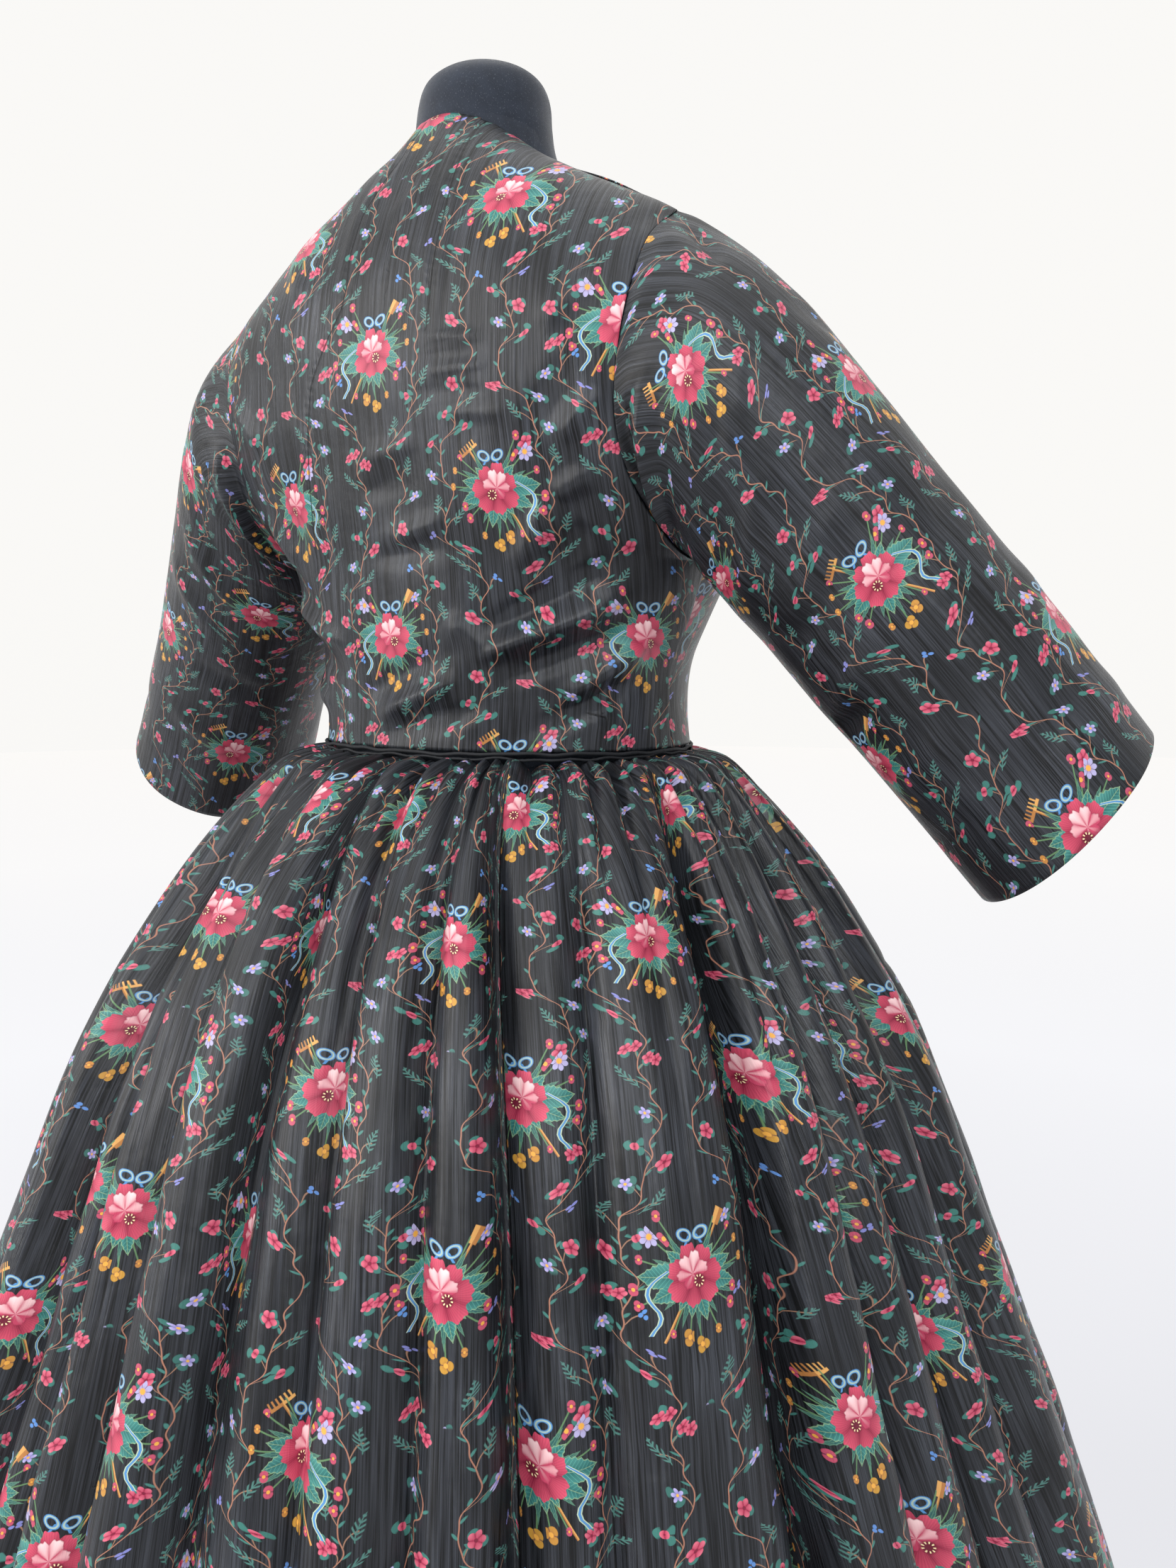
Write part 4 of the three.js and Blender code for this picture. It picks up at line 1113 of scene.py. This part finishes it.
def bouquet(recipe, ground, x, y, is_rake):
    """A tied bunch of garden flowers round a peony, drawn over the ground colour."""
    r = recipe
    reach = r.size(x, y)
    direction = r.turn(x, y)

    # garden tool tied in with the flowers
    across_stick, up_stick = r.rotated(x, y, -33)
    stick = r.both(r.between(across_stick, -0.5, 0.5), r.between(up_stick, -29, 24))
    spade = r.both(
        r.within(abs(across_stick) - (up_stick - 22) * 0.09, 1.7),
        r.between(up_stick, 22.5, 29.5),
    )
    teeth = r.within(r.math("PINGPONG", across_stick + 0.55, 0.9), 0.36)
    rake_head = r.both(
        r.between(across_stick, -5.4, 5.4),
        r.either(r.between(up_stick, 23, 24.4), r.both(r.between(up_stick, 24, 27.2), teeth)),
    )
    head = spade + (rake_head - spade) * is_rake
    wood = r.blend(r.within(across_stick, 0), "a8713e", "cf9a58")
    colour = r.blend(r.either(stick, head), ground, wood)

    # stems and side flowers, one in each sector
    place_x, place_y, radius, dye_place = r.chart(direction, [
        ((start + 180) / 360, (cx / BUNCH_SPAN + 0.5, cy / BUNCH_SPAN + 0.5, radius / 10, dye))
        for start, cx, cy, radius, _, dye in SIDE_FLOWERS
    ])
    petals = r.chart(direction, [
        ((start + 180) / 360, (petals / 10, 0, 0, 1)) for start, _, _, _, petals, _ in SIDE_FLOWERS
    ])[0] * 10
    cx, cy = (place_x - 0.5) * BUNCH_SPAN, (place_y - 0.5) * BUNCH_SPAN
    radius = radius * 10
    flower_far = r.size(cx, cy)
    off_line = abs(x * cy - y * cx) / flower_far
    stem = r.both(r.within(off_line, 0.3), r.within(reach, flower_far))
    colour = r.blend(stem, colour, "5d7f58")

    colour = leaf_ring(r, colour, x, y, direction, THIN_LEAVES, "264f50", "3b6d66", "6f9a78")
    colour = leaf_ring(r, colour, x, y, direction, BROAD_LEAVES, "27605e", "56998f", "a9be86")

    # ribbon: a bow on top and a curling tail at one side
    side = abs(x - 0.8)
    loop_x, loop_y = r.rotated(side - 4.0, y - 16.6, 28)
    loop = abs(r.size(loop_x / 3.9, loop_y / 2.6) - 0.8)
    tail_line = r.graph(r.math("MULTIPLY_ADD", y, 1 / 26, 22 / 26), RIBBON_TAIL) * -30
    off_tail = abs(x - tail_line)
    tail = r.both(r.within(off_tail, 1.05), r.between(y, -21.5, 3.5))
    ends = r.both(r.within(abs(side - (19 - y) * 0.62), 0.62), r.between(y, 12.2, 16))
    ribbon = r.either(r.within(loop, 0.24, 0.05), tail, ends)
    colour = r.blend(ribbon, colour, "4f86bb")
    pale = r.either(r.within(loop, 0.1, 0.05) * 0.7, r.both(tail, r.within(0.6, off_tail, 0.15)))
    colour = r.blend(pale * 0.85, colour, "c5cf9c")

    # side flowers
    fx, fy = x - cx, y - cy
    flower_reach = r.size(fx, fy)
    scallop = abs(r.sine(r.turn(fx, fy) * petals * math.pi))
    petal = r.within(flower_reach, radius * (scallop * 0.36 + 0.68))
    dye = r.dyes(dye_place, FLOWER_DYES)
    share = flower_reach / (radius + 0.01)
    deep = r.math("MULTIPLY_ADD", share, -1.5, 0.9, clamp=True) * 0.6
    colour = r.blend(petal, colour, r.blend(deep, dye, "7a2440"))
    notch = r.both(petal, r.within(scallop, 0.2, 0.08), r.within(0.25, share, 0.05))
    colour = r.blend(notch * 0.7, colour, "43263f")
    colour = r.blend(r.both(r.within(share, 0.3, 0.05), petal), colour, "dca047")

    # peony: outer petals, inner petals and the eye
    outer_edge = r.graph(direction, lobes(OUTER_PETALS) / 16) * 16
    outer_tone = r.graph(direction, petal_tone(OUTER_PETALS))
    streaks = r.sine(direction * 420) * 0.1
    outer_light = r.math("MULTIPLY_ADD", reach, 0.07, outer_tone * 0.6 - 0.62, clamp=True) + streaks
    peony = r.within(reach, outer_edge)
    colour = r.blend(peony, colour, r.blend(outer_light, "84233c", "cd5068"))
    inner_x, inner_y = x + 0.8, y - 0.6
    inner_reach = r.size(inner_x, inner_y)
    inner_direction = r.turn(inner_x, inner_y)
    inner_edge = r.graph(inner_direction, lobes(INNER_PETALS) / 16) * 16
    inner_tone = r.graph(inner_direction, petal_tone(INNER_PETALS))
    inner = r.within(inner_reach, inner_edge)
    inner_light = r.math("MULTIPLY_ADD", inner_y, 0.075, inner_tone * 0.8 - 0.42, clamp=True)
    colour = r.blend(inner, colour, r.blend(inner_light, "b5405c", "f2cfcf"))
    rim = r.within(abs(inner_reach - inner_edge), 0.35, 0.2)
    colour = r.blend(rim * 0.45, colour, "8a2440")
    eye_x, eye_y = x - 2.2, y + 2.6
    eye = r.size(eye_x, eye_y)
    colour = r.blend(r.within(eye, 2.7, 0.7) * 0.92, colour, "5c1528")
    dots = r.both(
        r.within(abs(eye - 2.0), 0.45),
        r.within(0.35, r.sine(r.turn(eye_x, eye_y) * (9 * math.tau)), 0.2),
    )
    return r.blend(dots, colour, "efd9a8")


def vines(recipe, colour, u, v):
    """Two trailing stems between the bunches, with small flowers, sprigs, buds and berries."""
    r = recipe
    strips = u / STRIP
    line = r.math("FLOOR", strips + 0.5)
    odd = r.wrap(line, 0, 2)
    x = (strips - line) * STRIP
    y = r.wrap(v + odd * (REPEAT / 2), -REPEAT / 2, REPEAT / 2)
    phase = y * (math.tau / REPEAT)
    middle_path = r.math("COSINE", phase) * -11.5 + r.sine(phase * 3 + 1.1) * 3.0
    across = x - middle_path
    hand = r.math("SIGN", across)
    wiggle = (
        r.sine(phase * 4 + hand * 2.2) * 3.2 + r.sine(phase * 9 + hand * 1.9) * 1.3
        + r.sine(phase * 15 + hand) * 0.5
    )
    away = abs(across) - STEM_APART - wiggle
    distance = abs(away)
    side = r.math("SIGN", away)

    # small leaves in turn up the stem
    leaf_pitch = REPEAT / 26
    leaf_number = r.math("FLOOR", y / leaf_pitch)
    leaf_side = r.wrap(leaf_number, 0, 2) * 2 - 1
    leaf_y = y - (leaf_number + 0.5) * leaf_pitch
    leaf_along, leaf_across = r.rotated(away * leaf_side - 1.5, leaf_y, 42)
    leaf = r.within(r.size(leaf_along / 1.9, leaf_across / 0.62), 1.0, 0.25)
    colour = r.blend(leaf, colour, "41766e")
    colour = r.blend(r.within(distance, 0.3), colour, "a06f5c")

    # one small motif in each place beside the stem
    row_pitch = REPEAT / 10
    lift = side * 3.9 + hand * 2.4
    row = r.math("FLOOR", (y + lift) / row_pitch)
    chance = r.node("ShaderNodeTexWhiteNoise", noise_dimensions="3D")
    place = r.arrow(side * 3 + hand * 7 + 0.5, row + 0.5, odd * 5 + PRINT_CHOICE)
    r.feed(chance.inputs["Vector"], place)
    kind = Amount(r, chance.outputs["Value"])
    shift, up, spin = r.parts(chance.outputs["Color"], "ShaderNodeSeparateColor")
    centre = shift * 3.0 + 6.6
    middle = (row + 0.5) * row_pitch - lift + (up - 0.5) * 2.4
    mx = distance - centre
    my = y - middle
    # no motif where a bunch stands, or on the line between two gaps
    centre_x = middle_path + hand * (STEM_APART + side * centre)
    right = r.size((centre_x - STRIP / 2) / 24, (middle + 1) / 36)
    left_y = r.wrap(middle + REPEAT / 2 + 1, -REPEAT / 2, REPEAT / 2)
    left = r.size((centre_x + STRIP / 2) / 24, left_y / 36)
    free = r.both(
        r.within(1.0, r.math("MINIMUM", right, left), 0.02),
        r.within(abs(centre_x), 34, 0.1), r.within(abs(middle), 74, 0.1),
    )
    is_flower, is_bud, is_star, is_berry, is_sprig = (
        r.both(r.within(low, kind, 0.001), r.within(kind, high, 0.001))
        for low, high in zip((-1, *MOTIF_SHARES), MOTIF_SHARES)
    )

    bend = 1 - r.math("MINIMUM", distance / centre, 1.0)
    twig = r.both(
        r.within(abs(y - middle + bend * bend * 6.0), 0.3),
        r.within(distance, centre), free, r.within(kind, MOTIF_SHARES[-1], 0.001),
    )
    colour = r.blend(twig, colour, "8f6c58")
    reach = r.size(mx, my)
    turn = r.turn(mx, my)

    # sprig: a fern-like twig that leans outwards
    sprig_up, sprig_across = r.rotated(mx + 0.5, my - 1.0, 64)
    sprig_out = abs(sprig_across)
    blades = r.within(r.math("PINGPONG", sprig_up - sprig_out * 0.85, 1.15), 0.5, 0.2)
    longer = sprig_up / 6.2
    fill = r.within(r.math("MULTIPLY_ADD", longer, longer, sprig_out / 2.6), 1.0, 0.1)
    sprig = r.both(fill, r.either(blades, r.within(sprig_out, 0.24)), is_sprig, free)
    colour = r.blend(sprig, colour, "4b766f")

    # leaves behind the small flowers
    lobe = abs(r.sine((turn + spin) * (2.5 * math.pi)))
    tuft = r.both(
        r.within(reach, 2.0 + lobe * 3.0), r.within(0.72, lobe, 0.12),
        r.either(is_flower, is_bud, is_star * 0.8), free,
    )
    colour = r.blend(tuft, colour, "3c7169")

    # three berries
    lower = r.size(abs(mx) - 1.15, my + 0.5 + r.math("SIGN", mx) * 0.5)
    upper = r.size(mx, my - 1.5)
    berry = r.both(r.within(r.math("MINIMUM", lower, upper), 1.02), is_berry, free)
    colour = r.blend(berry, colour, r.blend(spin, "4d86c2", "8478b4"))

    # flower, star and bud share one outline with different petals; some flowers stand in pairs
    twin = r.both(is_flower, r.within(0.45, spin, 0.001))
    px = mx + twin * (abs(mx) - mx - 2.1)
    py = my + twin * r.math("SIGN", mx) * 0.7
    petal_reach = r.size(px, py)
    radius = 3.7 - is_star * 0.9 - is_bud * 1.7 - twin * 0.8
    petals = 5 - is_bud * 3
    scallop = abs(r.sine((r.turn(px, py) * petals + spin) * math.pi))
    blossom = r.both(
        r.within(petal_reach, radius * (scallop * (0.3 + is_star * 0.25) + 0.76 - is_star * 0.25)),
        r.either(is_flower, is_bud, is_star), free,
    )
    share = petal_reach / radius
    light = r.math("MULTIPLY_ADD", share, 0.9, scallop * 0.5 - 0.5, clamp=True)
    deep, pale = r.blend(is_star, "a83350", "8077b2"), r.blend(is_star, "e0798c", "c3bde2")
    petal_colour = r.blend(light * 0.75, deep, pale)
    colour = r.blend(blossom, colour, petal_colour)
    gaps = r.both(r.within(scallop, 0.24, 0.08), r.within(0.3, share, 0.05), blossom, 1 - is_star)
    colour = r.blend(gaps * 0.6, colour, "7a1f39")
    heart = r.both(r.within(share, 0.24, 0.05), blossom)
    return r.blend(heart, colour, r.blend(is_star, "7a2038", "d8a648"))


def chintz_cloth():
    """Glazed charcoal chintz with a half-drop print of bunches and trailing stems."""
    r = Recipe("glazed chintz")
    u, v = r.cloth_place()

    # thick and thin warp threads show as long streaks in the glaze, their light tone partly painted
    # sheen
    fine = r.noise(u / 0.7, v / 42, 1)
    broad = r.noise(u / 1.9, v / 80, 0)
    worn = r.noise(u / 46, v / 70, 1)
    streak_and_sheen = r.math("MULTIPLY_ADD", fine, 1.7, broad * 0.9 - 0.9, clamp=True)
    # charcoal ground, lightened to slate along the streaks: partly thread tone and worn patches,
    # partly painted sheen
    ground = r.blend(streak_and_sheen * (worn * 1.1 + 0.1), "0f1012", "45484f")

    colour = vines(r, ground, u, v)
    strips = u / STRIP
    strip = r.math("FLOOR", strips)
    odd = r.wrap(strip, 0, 2)
    x = (strips - strip - 0.5) * (STRIP * BUNCH_SIZE) * (1 - odd * 2)
    y = r.wrap(v + odd * (REPEAT / 2), -REPEAT / 2, REPEAT / 2) * BUNCH_SIZE
    colour = bouquet(r, colour, x, y, odd)

    # stitched lines
    stitching = r.node("ShaderNodeAttribute", attribute_name="stitching")
    away, on_seam, _ = r.parts(stitching.outputs["Color"], "ShaderNodeSeparateColor")
    off_seam = abs(away - 0.5) * 20
    seam = r.both(r.within(off_seam, 0.5, 0.2), on_seam)
    colour = r.blend(seam * 0.85, colour, "08080a")

    r.surface({
        "Base Color": colour, "Roughness": 0.43 - streak_and_sheen * 0.13 - worn * 0.08,
        "Specular IOR Level": 0.27,
    })

    # weave, glaze and puckered seams in relief
    weave = r.sine(u * (math.tau / 0.42)) * r.sine(v * (math.tau / 0.5))
    pucker = r.sine(v * (math.tau / 5.5) + u * 0.4) * r.within(off_seam, 4.0, 3.0) * on_seam
    crumple = r.noise(u / 13, v / 13, 2)
    r.emboss(streak_and_sheen * 0.5 + weave * 0.12 + crumple * 3.2 + pucker * 0.5 - seam * 2, 0.5)
    return r.material


def form_cloth():
    """Blue-black jersey over the form: fine ribs, a little lint and a soft nap."""
    r = Recipe("form jersey")
    x, y, z = r.solid_place()
    around = r.math("ARCTAN2", y - 20, x) * 44
    rib = r.sine(around * (math.tau / 0.9))
    knit = r.sine(z * (math.tau / 0.8))
    worn = r.noise(around / 9, z / 11, 3)
    lint = r.within(0.71, r.noise(around / 0.9, z / 1.3, 1), 0.02)
    colour = r.blend(worn, "1c212a", "2d333e")
    colour = r.blend(lint * 0.25, colour, "6c7078")
    r.surface({
        "Base Color": colour, "Roughness": worn * 0.12 + 0.78, "Specular IOR Level": 0.25,
        "Sheen Weight": 0.25, "Sheen Roughness": 0.4,
    })
    r.emboss(rib * knit * 0.5 + worn * 1.5, 0.35)
    return r.material


def corded_cotton():
    """Black cotton over the waist cord, with slanting threads and rubbed high places."""
    r = Recipe("corded cotton")
    u, v = r.cloth_place()
    thread = r.sine((u + v) * (math.tau / 1.1))
    rubbed = r.noise(u / 7, v / 3, 3)
    r.surface({
        "Base Color": r.blend(rubbed, "0c0d0f", "24262b"), "Roughness": rubbed * 0.2 + 0.5,
        "Specular IOR Level": 0.3,
    })
    r.emboss(thread * 0.5 + rubbed, 0.5)
    return r.material


def stand_finish(name, dark, light, roughness):
    """Finish of the turned pole or base, with turning marks and handling wear."""
    r = Recipe(name)
    x, y, z = r.solid_place()
    turning = r.noise(z / 0.8, r.size(x, y) / 1.2, 2)
    wear = r.noise(x / 35, y / 35 + z / 60, 4)
    r.surface({
        "Base Color": r.blend(wear * 0.7 + turning * 0.3, dark, light),
        "Roughness": wear * 0.16 + (roughness - 0.08) + turning * 0.06,
    })
    r.emboss(turning, 0.2, 0.0002)
    return r.material


# ---------------------------------------------------------------- setting

def area_light(name, place, target, size, power, colour):
    data = bpy.data.lights.new(name, "AREA")
    data.shape = "RECTANGLE"
    data.size, data.size_y = size
    data.energy = power
    data.color = colour
    lamp = bpy.data.objects.new(name, data)
    aim = (Vector(target) - Vector(place)).to_track_quat("-Z", "Y")
    lamp.matrix_world = Matrix.Translation(Vector(place)) @ aim.to_matrix().to_4x4()
    bpy.context.scene.collection.objects.link(lamp)
    return lamp


def set_world():
    """A pale room: bright beyond the dress, dimmer on the side of the open doorway."""
    world = bpy.data.worlds.new("studio")
    world.use_nodes = True
    tree = world.node_tree
    background = tree.nodes["Background"]
    facing = tree.nodes.new("ShaderNodeTexCoord")
    compare = tree.nodes.new("ShaderNodeVectorMath")
    compare.operation = "DOT_PRODUCT"
    compare.inputs[1].default_value = BRIGHT_SIDE
    shift = tree.nodes.new("ShaderNodeMath")
    shift.operation = "MULTIPLY_ADD"
    shift.inputs[1].default_value = 0.5
    shift.inputs[2].default_value = 0.5
    ramp = tree.nodes.new("ShaderNodeValToRGB")
    fill_ramp(ramp.color_ramp, ROOM_TONES)
    tree.links.new(facing.outputs["Generated"], compare.inputs[0])
    tree.links.new(compare.outputs["Value"], shift.inputs[0])
    tree.links.new(shift.outputs[0], ramp.inputs[0])
    tree.links.new(ramp.outputs[0], background.inputs["Color"])
    background.inputs["Strength"].default_value = 1.0
    bpy.context.scene.world = world
    bpy.context.scene.view_settings.view_transform = "Standard"


def lay_floor():
    """A pale round floor whose own light changes with distance, as the room's does."""
    shape = bmesh.new()
    bmesh.ops.create_circle(shape, cap_ends=True, segments=96, radius=FLOOR_RADIUS)
    mesh = bpy.data.meshes.new("floor")
    shape.to_mesh(mesh)
    shape.free()
    floor = bpy.data.objects.new("floor", mesh)
    bpy.context.scene.collection.objects.link(floor)
    r = Recipe("pale floor")
    distance = r.node("ShaderNodeVectorMath", operation="LENGTH")
    r.feed(distance.inputs[0], r.node("ShaderNodeTexCoord").outputs["Object"])
    glow = r.ramp(Amount(r, distance.outputs["Value"]) / FLOOR_RADIUS, FLOOR_TONES)
    r.surface({
        "Base Color": (0.25, 0.25, 0.26, 1), "Roughness": 0.95,
        "Emission Color": glow.outputs[0], "Emission Strength": 1.0,
    })
    floor.data.materials.append(r.material)


def set_lights():
    """A tall window to the left of the camera, and weaker light from the right and above."""
    area_light("window", (1.55, 2.2, 2.0), (0, 0, 1.1), (1.0, 1.5), 60, (1.0, 0.985, 0.965))
    area_light("high window", (-1.35, 2.0, 2.75), (0, 0, 0.9), (1.5, 1.1), 62, (0.97, 0.985, 1.0))
    area_light("low window", (-2.6, 0.6, 1.1), (0, 0, 0.8), (0.8, 1.2), 6, (0.9, 0.95, 1.0))
    area_light("ceiling", (0, 0.2, 4.2), (0, 0, 0), (4, 4), 34, (1, 1, 1))


FLOOR_RADIUS = 14
BRIGHT_SIDE = (0.546, -0.838, 0.9)
ROOM_TONES = (
    (0.0, (0.08, 0.08, 0.09)), (0.42, (0.16, 0.16, 0.17)), (0.72, (0.94, 0.93, 0.915)),
    (1.0, (0.955, 0.945, 0.925)),
)
FLOOR_TONES = (
    (0.08, (0.5, 0.505, 0.535)), (0.2, (0.64, 0.645, 0.665)), (0.43, (0.715, 0.71, 0.705)),
    (1.0, (0.735, 0.72, 0.695)),
)


# ---------------------------------------------------------------- assembly

set_camera()
set_world()
lay_floor()
set_lights()
chintz = chintz_cloth()
cord_cotton = corded_cotton()
jersey = form_cloth()


def dress_piece(piece, node, material, thickness=None):
    piece.data.materials.append(material)
    if thickness:
        thicken(piece, thickness)
    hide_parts(node)
    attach(piece, "root")
    return piece


back = dress_piece(bodice_back(), "bodice_back", chintz, CLOTH_THICKNESS)
front_left = dress_piece(bodice_front(1), "bodice_front_left", chintz, CLOTH_THICKNESS)
front_right = dress_piece(bodice_front(-1), "bodice_front_right", chintz, CLOTH_THICKNESS)
sleeve_right = dress_piece(sleeve(-1), "sleeve_right", chintz, CLOTH_THICKNESS)
sleeve_left = dress_piece(sleeve(1), "sleeve_left", chintz, CLOTH_THICKNESS)
cord = dress_piece(waist_cord("waist_piping_cord", -0.6, 0.4, 1.15, 3), "waist_piping", cord_cotton)
dress_piece(waist_cord("waist_piping_lower_cord", 2.0, 0.5, 0.9, 4), "waist_piping", cord_cotton)
for number in range(1, SKIRT_PANELS + 1):
    width = dress_piece(skirt_width(number), f"skirt_panel_{number}", chintz, CLOTH_THICKNESS)
neck = form_neck()
neck.data.materials.append(jersey)
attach(neck, "root")

STAND_FINISHES = {
    "form_body": jersey,
    "form_pole": stand_finish("satin black enamel", "17181b", "27292d", 0.38),
    "form_base": stand_finish("dark stained wood", "2f1c10", "523420", 0.5),
}
for node_name, finish in STAND_FINISHES.items():
    for slot in bpy.data.objects[node_name].material_slots:
        slot.material = finish
